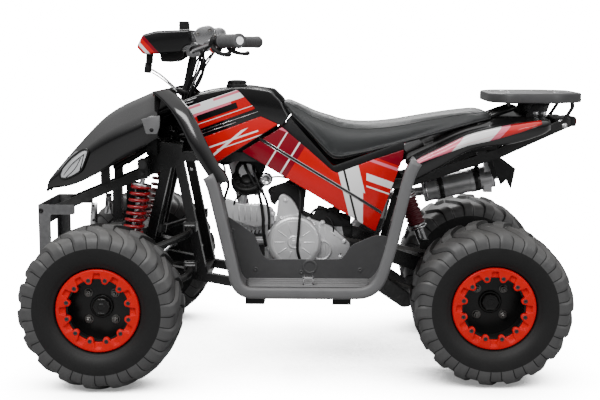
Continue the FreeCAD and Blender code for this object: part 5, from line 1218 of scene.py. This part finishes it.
for x, y, z in ((469, 70, 466), (452, 70, 470), (484, 68, 458), (436, 66, 448)):
    rubber_parts.append(lathe([(0, -11), (9, -11), (11, -8), (11, 8), (9, 11), (0, 11)], at(x, y, z),
                              (0.3, 1, 0.3), 14))
fitted("engine_rubber", rubber_parts + hose_parts, black_plastic)
bright_parts = [
    lathe([(0, -14), (17, -14), (20, -12), (20, 10), (17, 13), (12, 14), (11, 12), (0, 12)], at(673, 84, 566),
          ALONG_Y, 28),
    lathe([(26.5, 30), (28.5, 30), (28.5, 36), (26.5, 36)], at(FILTER_X, 10, FILTER_Z), ALONG_Y, 32),
    lathe([(0, -16), (12, -16), (13, -14), (13, 14), (12, 16), (0, 16)], at(700, 62, 528), (1, 0.2, -0.4), 20),
    sweep(curve([(678, 70, 548), (700, 62, 536), (724, 50, 548)], 5), 5, 10)]
for a in around(4, 0.4):
    bright_parts.append(lathe(hexagon(3.2, 3), on_circle(673, 96, 566, 15, a), ALONG_Y, 6))
fitted("engine_fittings", bright_parts, bright_steel)
print("engine done")

# %% [markdown]
# From the left the engine is one bright casting: the round crank cover runs into a broad cover that slopes
# down to the rear, and a dome rises behind the starter's boot. Plates with wide rounded edges give these
# forms, since a casting's look is mostly its soft corners.

# %% Broad covers
broad = [plate(corners([(604, 452), (566, 453), (518, 438), (474, 423), (437, 392), (406, 363), (421, 332),
                        (440, 310), (604, 306)], 14), 58, 98),
         plate(corners([(644, 436), (640, 459), (634, 511), (621, 521), (599, 511), (581, 489), (566, 452),
                        (560, 410), (640, 396)], 12), 22, 92),
         plate(corners([(806, 503), (772, 490), (728, 481), (687, 484), (652, 470), (648, 420), (713, 410),
                        (799, 441)],
                       12), 40, 68)]
fitted("broad_covers", broad, engine_silver, (7, 4))
broad_ribs = [sweep([at(x, 97.5, z), at(x2, 97.5, z2)], [2.6, 1.4], 6) for x, z, x2, z2 in (
    (505, 428, 500, 318), (488, 420, 486, 330), (600, 320, 560, 308), (470, 404, 432, 372))]
for x, z in ((428, 372), (440, 322), (496, 430), (540, 440), (612, 500), (652, 456)):
    y = 97 if x < 560 else 91
    broad_ribs += [lathe([(8.5, -20), (8.5, 0), (7, 1.5), (0, 1.5)], at(x, y, z), ALONG_Y, 16),
                   lathe(hexagon(5, 4), at(x, y + 3, z), ALONG_Y, 6, 0.3)]
for k in range(7):
    x, low, high = 664 + 19 * k, 428 + 1.5 * k, 470 + 2 * k
    broad_ribs.append(plate([(x, low), (x + 3, low), (x + 3, high), (x, high)], 64, 71))
fitted("cover_ribs", broad_ribs, engine_silver, (0.6, 1))
boots = [plate(corners([(668, 532), (645, 541), (608, 552), (601, 545), (564, 546), (548, 525), (561, 447),
                        (574, 455),
                           (586, 488), (601, 508), (627, 516), (645, 482), (660, 491)], 6), 16, 74),
            plate(corners([(559, 463), (526, 449), (511, 479), (492, 475), (481, 457), (463, 476), (425, 438),
                           (407, 434), (410, 417), (455, 417), (511, 432), (556, 447)], 3), 36, 84),
            plate(corners([(830, 612), (790, 640), (753, 662), (700, 645), (676, 600), (690, 570), (712, 600),
                           (735, 622), (760, 628), (800, 606)], 5), 26, 58)]
for x, z, turn in ((560, 538, 0.3), (655, 528, -0.4), (420, 442, 0.2)):
    boots.append(lathe([(0, -16), (10, -16), (12, -13), (12, 12), (10, 14), (0, 14)], at(x, 60, z),
                       (turn, 1, 0.4), 16))
fitted("rubber_boots", boots, black_plastic, (4, 3))
shield_plates = [plate(corners([(474, 421), (418, 429), (402, 421), (402, 360)], 4), 52, 57),
            plate(corners([(404, 417), (332, 398), (347, 379), (400, 366)], 4), 60, 66)]
fitted("cover_plates", shield_plates, black_paint, (1, 2))
bell_profile = [(30, -24), (46, -18), (52, -12), (53, 4), (50, 12), (44, 15), (41, 13), (40, 6), (22, 5),
                (20, 12), (14, 15), (0, 15)]
bell = [lathe(bell_profile, at(734, 52, 558), (0.05, 0.70, 0.71), 40)]
for a in around(12):
    bell.append(sweep([at(734 + 24 * math.cos(a), 62 - 17 * math.sin(a), 566 + 17 * math.sin(a)),
                       at(734 + 39 * math.cos(a), 62 - 27.5 * math.sin(a), 566 + 27.5 * math.sin(a))], 1.8, 6))
fitted("intake_bell", bell, black_plastic, (0.8, 1))
print("castings done")

# %% [markdown]
# A striped band follows the rear fender's edge: thin and pink in front, broad and white in the middle, red at
# the back. It is a skin a few millimetres above the moulding, and slanted cuts part its colours.

# %% Tail stripe
slant = (1, 0.9)
stripe_print = printed(WHITE, [
    ([(slant, -EVERYWHERE, (-20, 716))], RED),
    ([(slant, (-22, 716), (2, 716))], PINK),
    ([(slant, (106, 690), EVERYWHERE)], PINK),
    ([((0.3, 1), (44, 706), (44, 708))], RED),
    ([((1, 0), -EVERYWHERE, -146)], BLACK)])
stripe_finish = finish("tail_print", RED, 0.2, coat=0.5, dust=0.03, pattern=stripe_print)
band = smooth_line([(247, 649, 645), (184, 683, 676), (129, 706, 695), (73, 728, 710), (24, 744, 721),
                    (-28, 759, 737), (-80, 764, 751), (-143, 770, 766)], 3)
fender_edges = [(x, half, wing) for x, shelf, half, wing, skirt in tail_stations]


def edge_at(x):
    for (x0, half0, wing0), (x1, half1, wing1) in zip(fender_edges, fender_edges[1:]):
        if x0 <= x <= x1:
            t = (x - x0) / (x1 - x0)
            return half0 + (half1 - half0) * t, wing0 + (wing1 - wing0) * t
    return fender_edges[-1][1:]


stripe_rows = []
for x, top, low in band:
    half, wing = edge_at(x)
    lift = min(1.0, (top - low) / 12)
    drop = 11 * lift
    foot = wing - drop - (top - low) * 0.7
    stripe_rows.append([at(x, half - 6 - 16 * lift, wing + 4.0), at(x, half - 2, wing - 0.5 * lift),
                        at(x, half + 2.6, wing - drop), at(x, half + 2.6, foot), at(x, half - 3, foot)])
stripe = piece("tail_stripe", *both_sides(grid(stripe_rows)), stripe_finish)
thick(stripe, 1.2)
guard_outline = corners([(238, 622), (190, 616), (107, 648), (39, 657), (-40, 666), (-32, 690), (60, 682),
                         (120, 690), (150, 690), (238, 652)], 8)
fitted("inner_guard", [plate(guard_outline, 128, 132)], black_plastic, (1.2, 1), both=True)

# %% [markdown]
# The rack is a thick plate with eight corners and a soft edge, four bolt holes with washers, and a raised rim.
# Broad slanted straps carry it in front and thin bent ones at the back.

# %% Rack, straps and grab bar
rack_points = [(-8, 108), (-52, 183), (-214, 183), (-293, 118), (-293, -118), (-214, -183), (-52, -183),
               (-8, -108)]
rack_top = [Vector(p) for p in corners(rack_points, 26, 5)]
rack_middle = Vector((-150, 0))
rack_rows = []
for inset, z in ((6, 808), (1.5, 809), (0, 812), (0, 832), (1.5, 836), (4.5, 837.6), (26, 837.6), (29, 836.4),
                 (34, 836.4)):
    row = []
    for i, p in enumerate(rack_top):
        before, after = rack_top[i - 1], rack_top[(i + 1) % len(rack_top)]
        run = (after - before).normalized()
        normal = Vector((run.y, -run.x))
        spot = p - normal * (inset if normal.dot(p - rack_middle) > 0 else -inset)
        row.append(at(spot.x, spot.y, z))
    rack_rows.append(row)
rack = skin("rack_plate", rack_rows, rack_grey, solid=True)
eased(rack, 0.8, 2, 40)
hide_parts("rack")
rack_bolts = []
for x in (-226, -76):
    for y in (-60, 60):
        rack_bolts.append(lathe([(5, -1), (9.5, -1), (10, 0.4), (10, 1.0), (9, 1.5), (4.6, 1.5), (4.3, -1)],
                                at(x, y, 836.6), (0, 0, 1), 20))
straps, tips = [], []
straps.append(plate(corners([(-146, 811), (-197, 811), (-181, 766), (-120, 762)], 5), 116, 122))
rear_strap = [(-262, 810), (-263, 793), (-250, 772), (-236, 752), (-222, 744)]
rear_outline = [(x - 6, z) for x, z in rear_strap] + [(x + 6, z) for x, z in rear_strap[::-1]]
straps.append(plate(rear_outline, 114, 120))
straps.append(sweep([at(-20, 60, 762), at(-60, 60, 777), at(-96, 60, 789)], 9, 14))
straps.append(sweep([at(-96, 60, 789), at(-96, 0, 789), at(-96, -60, 789)], 9, 14))
for x, y, z in ((-152, 122, 776), (-176, 122, 776), (-228, 120, 749), (-184, 127, 745), (-239, 127, 738)):
    tips.append(lathe(hexagon(6.5, 5), at(x, y, z), ALONG_Y, 6))
    tips.append(lathe([(9, 0), (9, 1.5), (4, 1.6)], at(x, y, z), ALONG_Y, 20))
strap_piece = fitted("rack_straps", straps, black_paint, (1.2, 2), both=True)
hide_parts("rack_stays")
fitted("tail_bolts", [both_sides(joined(tips))] + rack_bolts, bright_steel)

# %% [markdown]
# A ribbed lens in a black housing finishes the tail lamp, and the muffler gets its two straps, two end rings
# and a ring of bolts.

# %% Tail lamp and muffler
lamp_case = [plate(corners([(-290, 731), (-262, 731), (-256, 746), (-262, 761), (-290, 761)], 5), -51, 51)]
fitted("tail_lamp_case", lamp_case, black_plastic, (2, 2))
lens_rows = []
for y in range(-48, 49, 6):
    lens_rows.append([at(-289.5 - (1.2 if (y // 6) % 2 else 0) + dx, y, z) for dx, z in (
        (0, 735), (-2.2, 738), (-2.6, 746), (-2.2, 754), (0, 757))])
lens = skin("tail_lens", lens_rows, ring_red)
thick(lens, 2, -1)
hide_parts("tail_lamp")
muffler_start, muffler_end = at(165, -158, 500), at(-68, -158, 553)
muffler_run = (muffler_end - muffler_start).normalized()


def muffler_ring(inner, outer, along, width):
    return lathe([(inner, along), (outer, along + 1), (outer, along + width - 1), (inner, along + width)],
                 muffler_start, muffler_run, 40)


muffler_straps = []
for along in (46, 168):
    middle = muffler_start + muffler_run * mm(along + 11)
    muffler_straps += [muffler_ring(38.2, 40, along, 23),
                       sweep([middle + Vector((0, mm(10), mm(38))), middle + Vector((0, mm(24), mm(62)))],
                             [9, 7], 8)]
muffler_ends = [muffler_ring(37, 39, along, 6) for along in (6, 232)]
face_middle = muffler_start + muffler_run * mm(238.6)
face_up = (UPWARD - muffler_run * muffler_run.z).normalized()
face_side = muffler_run.cross(face_up)
for a in around(10):
    spot = face_middle + (face_up * math.cos(a) + face_side * math.sin(a)) * mm(27)
    muffler_ends.append(lathe(hexagon(2.6, 2), spot, muffler_run, 6))
fitted("muffler_straps", muffler_straps, black_paint, (0.5, 1))
fitted("muffler_ends", muffler_ends, bright_steel)
print("tail done")

# %% [markdown]
# The front springs are swept coils with flattened ends, and the rear one wears a ribbed boot whose red is
# darkened as painted shade under the seat. Collars, an adjuster ring with pins and a rubber bump stop make the
# dampers read as dampers.

# %% Springs and collars
coils, spring_collars, stops = [], [], []
front_top, front_foot = Vector((1036, 200, 598)), Vector((1098, 212, 292))
rear_top, rear_foot = Vector((236, 0, 520)), Vector((172, 0, 352))


def coil(top, foot, start, end, radius, wire, turns):
    """Coil between two shares of the way from top to foot, with nearly flat first and last turns."""
    run = foot - top
    first, second = square_to(run.normalized(), ALONG_Y)
    line, steps = [], turns * 20
    for k in range(steps + 1):
        t = k / steps
        climb = min(max((t - 0.07) / 0.86, 0), 1) * 0.94 + t * 0.06
        a = 2 * math.pi * turns * t
        line.append(at(*(top + run * (start + (end - start) * climb)
                         + (first * math.cos(a) + second * math.sin(a)) * radius)))
    return sweep(line, wire, 8)


for side in (1, -1):
    top, foot = [Vector((end.x, end.y * side, end.z)) for end in (front_top, front_foot)]
    coils.append(coil(top, foot, 0.13, 0.635, 27.0, 5.4, 9))
    run = foot - top
    for share, profile in ((0.115, [(9, -3), (30, -3), (31, -1), (31, 2), (29, 4), (17, 8), (9, 8)]),
                           (0.645, [(17, -7), (30, -5), (31, -3), (31, 2), (29, 4), (17, 4)])):
        spring_collars.append(lathe(profile, at(*(top + run * share)), run, 32))
    stops.append(lathe([(8, 0), (13, 1), (15, 6), (12, 10), (15, 14), (12, 18), (14, 22), (8, 26)],
                       at(*(top + run * 0.16)), run, 20))
    first, second = square_to(run.normalized(), ALONG_Y)
    for a in around(8):
        spot = top + run * 0.672 + (first * math.cos(a) + second * math.sin(a)) * 19
        spring_collars.append(lathe([(0, -5), (4, -5), (4, 5), (0, 5)], at(*spot), run, 6))
springs = fitted("front_coils", coils, spring_red)
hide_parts("springs")
rear_run = rear_foot - rear_top
pleats = [(radius, 12 + 13 * k + along) for k in range(8)
          for radius, along in ((24.5, 0), (28.6, 3), (28.8, 6.5), (24.5, 9.5))]
# The boot's very dark red is painted shade: the rear damper sits under the seat.
fitted("rear_boot", [lathe([(14, 10)] + pleats + [(14, 118)], at(*rear_top), rear_run, 36)], shaded_boot_red)
for share in (0.06, 0.69):
    spring_collars.append(lathe([(10, -3), (30, -3), (31, 0), (29, 4), (16, 6)],
                                at(*(rear_top + rear_run * share)), rear_run, 32))
for k in range(5):
    for side in (1, -1):
        spot = rear_top + rear_run * (0.12 + 0.125 * k) + Vector((-27, 8 * side, 0))
        spring_collars.append(lathe([(0, -3), (3.6, -3), (3.6, 3), (0, 3)], at(*spot), (1, 0, 0.2), 10))
fitted("damper_collars", spring_collars, bright_steel, (0.4, 1))
fitted("bump_stops", stops, black_plastic)

# %% [markdown]
# The chain has about a hundred links on the same loop as the CAD band: outer and inner plates with waisted
# sides, and a roller at every pin. The sprocket's teeth reach between them.

# %% Chain
BIG, SMALL = (REAR_X, REAR_RADIUS, 81.0), (448.0, 345.0, 36.0)     # x, z, radius of the chain's bends
SPROCKET_Y, PITCH = 84.0, 12.7


def chain_loop():
    (x0, z0, r0), (x1, z1, r1) = BIG, SMALL
    span = math.hypot(x1 - x0, z1 - z0)
    lean, tip = math.atan2(z1 - z0, x1 - x0), math.acos((r0 - r1) / span)
    points = []
    for x, z, r, first, turn, steps in ((x0, z0, r0, lean + tip, 2 * math.pi - 2 * tip, 60),
                                        (x1, z1, r1, lean - tip, 2 * tip, 30)):
        for k in range(steps + 1):
            a = first + turn * k / steps
            points.append(Vector((x + r * math.cos(a), z + r * math.sin(a))))
    return points + points[:1]


loop = chain_loop()
length = sum((b - a).length for a, b in zip(loop, loop[1:]))
LINKS = 2 * round(length / PITCH / 2)


def on_loop(travel):
    for a, b in zip(loop, loop[1:]):
        step = (b - a).length
        if travel <= step:
            return a + (b - a) * (travel / step)
        travel -= step
    return loop[-1]


pins = [on_loop(length * k / LINKS) for k in range(LINKS)]
links = []
for k in range(LINKS):
    a, b = pins[k], pins[(k + 1) % LINKS]
    run = (b - a).normalized()
    normal = Vector((-run.y, run.x))
    outline = []
    for end, sign in ((a, -1), (b, 1)):
        for turn in (-75, -30, 30, 75):
            t = math.radians(turn * sign if sign > 0 else turn)
            direction = run * sign * math.cos(t) + normal * math.sin(t) * sign
            outline.append(end + direction * 5.4)
        outline.append((a + b) / 2 + normal * (3.9 * sign))
    outer = 1.0 if k % 2 else 0.0
    for side in (1, -1):
        low = SPROCKET_Y + side * (4.0 + 1.5 * outer)
        links.append(plate([tuple(p) for p in outline], *sorted((low, low + side * 1.3))))
    links.append(lathe([(0, -6.6), (2.2, -6.6), (2.2, -4), (3.9, -4), (3.9, 4), (2.2, 4), (2.2, 6.6), (0, 6.6)],
                       at(a.x, SPROCKET_Y, a.y), ALONG_Y, 8))
chain = fitted("chain_links", links, dark_steel, smooth=False)
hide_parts("chain")
print("chain links", LINKS, "faces", len(chain.data.polygons))

# %% [markdown]
# The sprocket and the wavy brake disc are toothed rings whose bore is scalloped between its arms. Each sits on
# a carrier of the axle, and the disc runs between the two halves of a caliper.

# %% Sprocket and brake disc
def toothed(teeth, tip, root, inner, holes, y, thickness):
    """Toothed or wavy disc whose bore has scallops between its arms."""
    rows, columns = [], teeth * 4
    for k, a in enumerate(around(columns)):
        outer_radius = (root, (root + tip) / 2, tip, (root + tip) / 2)[k % 4]
        bore = inner + 6 * max(0, math.cos(holes * a))
        rows.append([on_circle(REAR_X, y + dy, REAR_RADIUS, r, a) for r, dy in (
            (bore, -thickness / 2), (root - 5, -thickness / 2), (outer_radius, -thickness / 3),
            (outer_radius, thickness / 3), (root - 5, thickness / 2), (bore, thickness / 2))])
    return grid(rows, closed=True, looped=True)


sprocket_parts = [toothed(40, 77.6, 73.5, 44, 6, SPROCKET_Y, 5.6)]
sprocket_carrier = [(15.5, -16), (33, -16), (34, -14), (34, 5), (46, 6), (47, 7), (47, 9), (31, 9.5), (31, 16),
                    (29, 18), (15.5, 18)]
disc_carrier = [(15.5, -14), (30, -14), (31, -12), (31, -4), (46, -3), (46, 1), (28, 2), (28, 12), (15.5, 12)]
hub_parts = [lathe(sprocket_carrier, at(REAR_X, 76, REAR_RADIUS), ALONG_Y, 40)]
for a in around(6, 0.52):
    hub_parts.append(lathe(hexagon(6, 6), on_circle(REAR_X, 85, REAR_RADIUS, 39.5, a), ALONG_Y, 6))
sprocket = fitted("sprocket_teeth", sprocket_parts, dark_steel, body="axle", smooth=False)
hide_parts("sprocket")
disc_parts = [toothed(18, 84, 81.5, 42, 9, -84, 4)]
for k, a in enumerate(around(36)):
    disc_parts.append(lathe([(3.2, -2.4), (3.9, -2.5), (3.9, 2.5), (3.2, 2.4)],
                            on_circle(REAR_X, -84, REAR_RADIUS, 58 if k % 2 else 68, a), ALONG_Y, 10))
disc = fitted("brake_disc_wave", disc_parts, bright_steel, body="axle", smooth=False)
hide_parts("brake_disc")
hub_parts.append(lathe(disc_carrier, at(REAR_X, -80, REAR_RADIUS), ALONG_Y, 40))
fitted("axle_carriers", hub_parts, black_paint, (0.6, 1), "axle")
caliper_half = corners([(-30, 296), (34, 296), (40, 318), (26, 336), (-24, 336), (-38, 316)], 8)
caliper_parts = [plate(caliper_half, -100, -90), plate(caliper_half, -78, -68),
                 plate(corners([(-20, 318), (24, 318), (24, 336), (-20, 336)], 3), -92, -76)]
fitted("rear_caliper", caliper_parts, black_paint, (2, 2))
print("running gear done")

# %% [markdown]
# Small parts finish the footwells: ribs along the floor, a metal peg plate with two windows, bolts at the wall
# and a moulded round mark.

# %% Footwell fittings
floor_ribs = [sweep([at(x0, y, 266), at(x0 - 8, y, 273), at(x1 + 8, y, 273), at(x1, y, 266)], 4.2, 8)
              for y, x0, x1 in ((206, 726, 350), (232, 724, 352), (258, 722, 354), (284, 720, 356),
                                (306, 716, 360))]
fitted("floor_ribs", floor_ribs, grey_plastic, both=True)
round_mark = [(15, -2), (15, 0.4), (17, 1.4), (21, 1.4), (23, 0.4), (23, -2)]
wall_bolt = [(7, -1), (7, 1.2), (5.5, 2), (2.6, 2), (2.2, 0.8), (0, 0.8)]
marks = [lathe(round_mark, at(534, 186, 308), ALONG_Y, 32)]
marks += [lathe(wall_bolt, at(x, 186, z), ALONG_Y, 16)
          for x, z in ((560, 292), (770, 420), (300, 372), (700, 300), (380, 300))]
# The marks and bolts share the wall's darker grey, the tray's painted shade.
fitted("wall_marks", marks, shaded_wall_grey, both=True)
peg = [plate([(x0, z0), (x1, z0), (x1, z1), (x0, z1)], 296, 303) for x0, z0, x1, z1 in (
    (519, 257, 524, 300), (547, 257, 552, 300), (519, 257, 552, 261), (519, 275, 552, 280),
    (519, 295, 552, 300))]
peg += [plate([(x, 297), (x + 4, 297), (x + 3, 303), (x + 1, 303)], 240, 296) for x in (521, 546)]
fitted("peg_plates", peg, bright_steel, (0.8, 1), smooth=False, both=True)

# %% [markdown]
# At the front sit a grey tab with a hole, its black post, a small canister, an upright plate and the bumper's
# bolts. Points that lie on the curved lamps and fender are found by looking along the axle line.

# %% Front fittings
def face_trees(*shapes):
    graph = bpy.context.evaluated_depsgraph_get()
    return [BVHTree.FromObject(shape, graph) for shape in shapes]


def on_face(trees, x, z, side, proud):
    """Outermost point of the shapes at (x, z), and a little beyond it; None where there is none."""
    best = None
    for tree in trees:
        spot = tree.ray_cast(at(x, side * 480, z), Vector((0, -side, 0)))[0]
        if spot is not None and (best is None or spot.y * side > best.y * side):
            best = spot
    return None if best is None else best + Vector((0, side * mm(proud), 0))


front_faces = face_trees(nodes["headlamps"], front_fender)
bezel_points = smooth_line([(1309, 572), (1309, 592), (1274, 634), (1228, 664), (1208, 660), (1220, 628),
                            (1238, 598), (1286, 572), (1309, 572)], 5)
streaks = [[(1298, 582), (1262, 622), (1222, 652)], [(1240, 600), (1230, 628), (1222, 652)],
           [(1290, 576), (1256, 606), (1234, 640)]]
upper_edge = [(1309, 573), (1310, 592), (1292, 614), (1274, 634), (1250, 652), (1228, 664), (1209, 661)]
lower_edge = [(1309, 573), (1298, 571), (1278, 576), (1252, 590), (1236, 604), (1222, 628), (1209, 661)]
lenses = []
for side in (1, -1):
    rows = []
    for (xa, za), (xb, zb) in zip(smooth_line(upper_edge, 3), smooth_line(lower_edge, 3)):
        row = []
        for k in range(9):
            x, z = xa + (xb - xa) * k / 8, za + (zb - za) * k / 8
            spot = on_face(front_faces, x, z, side, 0.8 + 2.4 * math.sin(math.pi * k / 8))
            row.append(spot or at(x, side * 150, z))
        rows.append(row)
    lenses.append(grid(rows))
fitted("lamp_lenses", lenses, lamp_clear)
dark_lines = []
for side in (1, -1):
    for line, radius in [(bezel_points, 3.6)] + [(smooth_line(s, 5), 1.3) for s in streaks]:
        spots = [on_face(front_faces, x, z, side, 3.0) for x, z in line]
        spots = [s for s in spots if s is not None]
        if len(spots) > 3:
            dark_lines.append(sweep(spots, radius, 8))
fitted("lamp_bezels", dark_lines, black_plastic)


def side_plate(outline, side, near, far):
    return plate(outline, *sorted((side * near, side * far)))


tab_outline = corners([(1034, 763), (1007, 770), (977, 774), (979, 740), (987, 719), (1020, 719),
                       (1030, 755)], 4)
tabs = []
for side in (1, -1):
    tabs += [side_plate(tab_outline, side, 243, 246.5),
             side_plate([(1000, 752), (1012, 752), (1012, 764), (1000, 764)], side, 234, 243)]
fitted("fender_tabs", tabs, grey_plastic, (1, 2))
holes, posts, brackets = [], [], []
bracket_outline = corners([(1200, 494), (1220, 494), (1226, 425), (1202, 425)], 3)
for side in (1, -1):
    holes.append(lathe([(0, 0), (6.2, 0), (6.2, 0.5), (0, 0.5)], at(1003, side * 246.6, 731), (0, side, 0), 18))
    posts.append(side_plate([(1002, 647), (1035, 647), (1035, 709), (1002, 716)], side, 140, 156))
    brackets.append(side_plate(bracket_outline, side, 108, 112))
    for x, z in ((1374, 470), (1374, 318)):
        holes.append(lathe([(0, 0), (5, 0), (7, 0.2), (8, 1.4), (6.2, 2.0), (4, 2.0), (3.6, 0.8), (0, 0.8)],
                           at(x, side * 131, z), (0, side, 0), 16))
    for x, z in ((1213, 484), (1214, 438)):
        holes.append(lathe(hexagon(4, 3), at(x, side * 112.4, z), (0, side, 0), 6))
for side in (1, -1):
    line = [(1146, 100, 600), (1112, 104, 622), (1050, 106, 660), (1000, 104, 690)]
    posts.append(sweep(curve([(x, side * y, z) for x, y, z in line], 4), 10, 14))
posts.append(lathe([(0, -30), (11, -30), (13, -26), (13, 22), (8, 30), (0, 30)], at(1004, 96, 650),
                   (1, 0.1, 0.4), 18))
brackets.append(lathe([(0, -20), (8, -20), (9.5, -18), (9.5, 14), (7, 17), (3, 18), (3, 24), (0, 24)],
                      at(966, 100, 663), (-1, 0.1, 0.1), 20))
for x, y, z in ((870, 96, 640), (906, 92, 598)):
    brackets.append(lathe(hexagon(6, 8), at(x, y, z), ALONG_Y, 6))
fitted("front_posts", holes + posts, black_plastic, (0.8, 1))
fitted("front_brackets", brackets, bright_steel, (0.5, 1))

# %% [markdown]
# The saddle's cover is blown up by the cloth solver: a voxel mesh of even quads, held along its flat base, with
# pressure inside and no gravity. The movement is capped, so the pad stays on its base and under its height.

# %% Saddle cover
def shrunk(made, distance):
    shape = bmesh.new()
    shape.from_mesh(made.data)
    shape.normal_update()
    for corner in shape.verts:
        corner.co -= corner.normal * mm(distance)
    shape.to_mesh(made.data)
    shape.free()


UNDERSIZE, VOXEL, MOST, FRAMES = 4.5, 6, 6.5, 20         # the first three in millimetres
settled(saddle)
shrunk(saddle, UNDERSIZE)
add_modifier(saddle, "REMESH", mode="VOXEL", voxel_size=mm(VOXEL), use_smooth_shade=True)
settled(saddle)
start = [corner.co.copy() for corner in saddle.data.vertices]
held = saddle.vertex_groups.new(name="held")
held.add([corner.index for corner in saddle.data.vertices if corner.normal.z < -0.6], 1.0, "REPLACE")
cover = saddle.modifiers.new("cover", "CLOTH")
cover.settings.quality = 5
cover.settings.mass = 0.3
cover.settings.use_pressure = True
cover.settings.uniform_pressure_force = 4.0
cover.settings.vertex_group_mass = "held"
cover.settings.effector_weights.gravity = 0.0
cover.point_cache.frame_start, cover.point_cache.frame_end = 1, FRAMES
for number in range(1, FRAMES + 1):
    bpy.context.scene.frame_set(number)
settled(saddle)
bpy.context.scene.frame_set(1)
longest = 0.0
for corner, first in zip(saddle.data.vertices, start):
    move = corner.co - first
    longest = max(longest, move.length)
    if move.length > mm(MOST):
        corner.co = first + move * (mm(MOST) / move.length)
rounded(saddle)
print("cover moved up to", round(longest * 1000, 1), "mm")
saddle.data.polygons.foreach_set("use_smooth", [True] * len(saddle.data.polygons))
for number in range(len(saddle.data.materials)):
    saddle.data.materials[number] = vinyl
print("saddle faces", len(saddle.data.polygons))

# %% [markdown]
# A welt of vinyl cord closes the cover along its lower edge, and a flat seam runs along each shoulder. Both lie
# on the finished surface, found point by point.

# %% Saddle welt and seams
saddle_face = face_trees(saddle)[0]
welts, seams = [], []
for side in (1, -1):
    for share_y, share_z, radius, keep in ((0.99, 0.13, 2.4, welts), (0.80, 0.94, 1.1, seams)):
        line = []
        for x, base, top, half in smooth_line(saddle_stations[1:-1], 2):
            near = saddle_face.find_nearest(at(x, side * half * share_y, base + (top - base) * share_z))
            line.append(near[0] + near[1] * mm(0.3 * radius))
        keep.append(sweep(line, radius, 8))
fitted("saddle_welt", welts, vinyl)
fitted("saddle_seams", seams, vinyl)
print("welt and seams done")
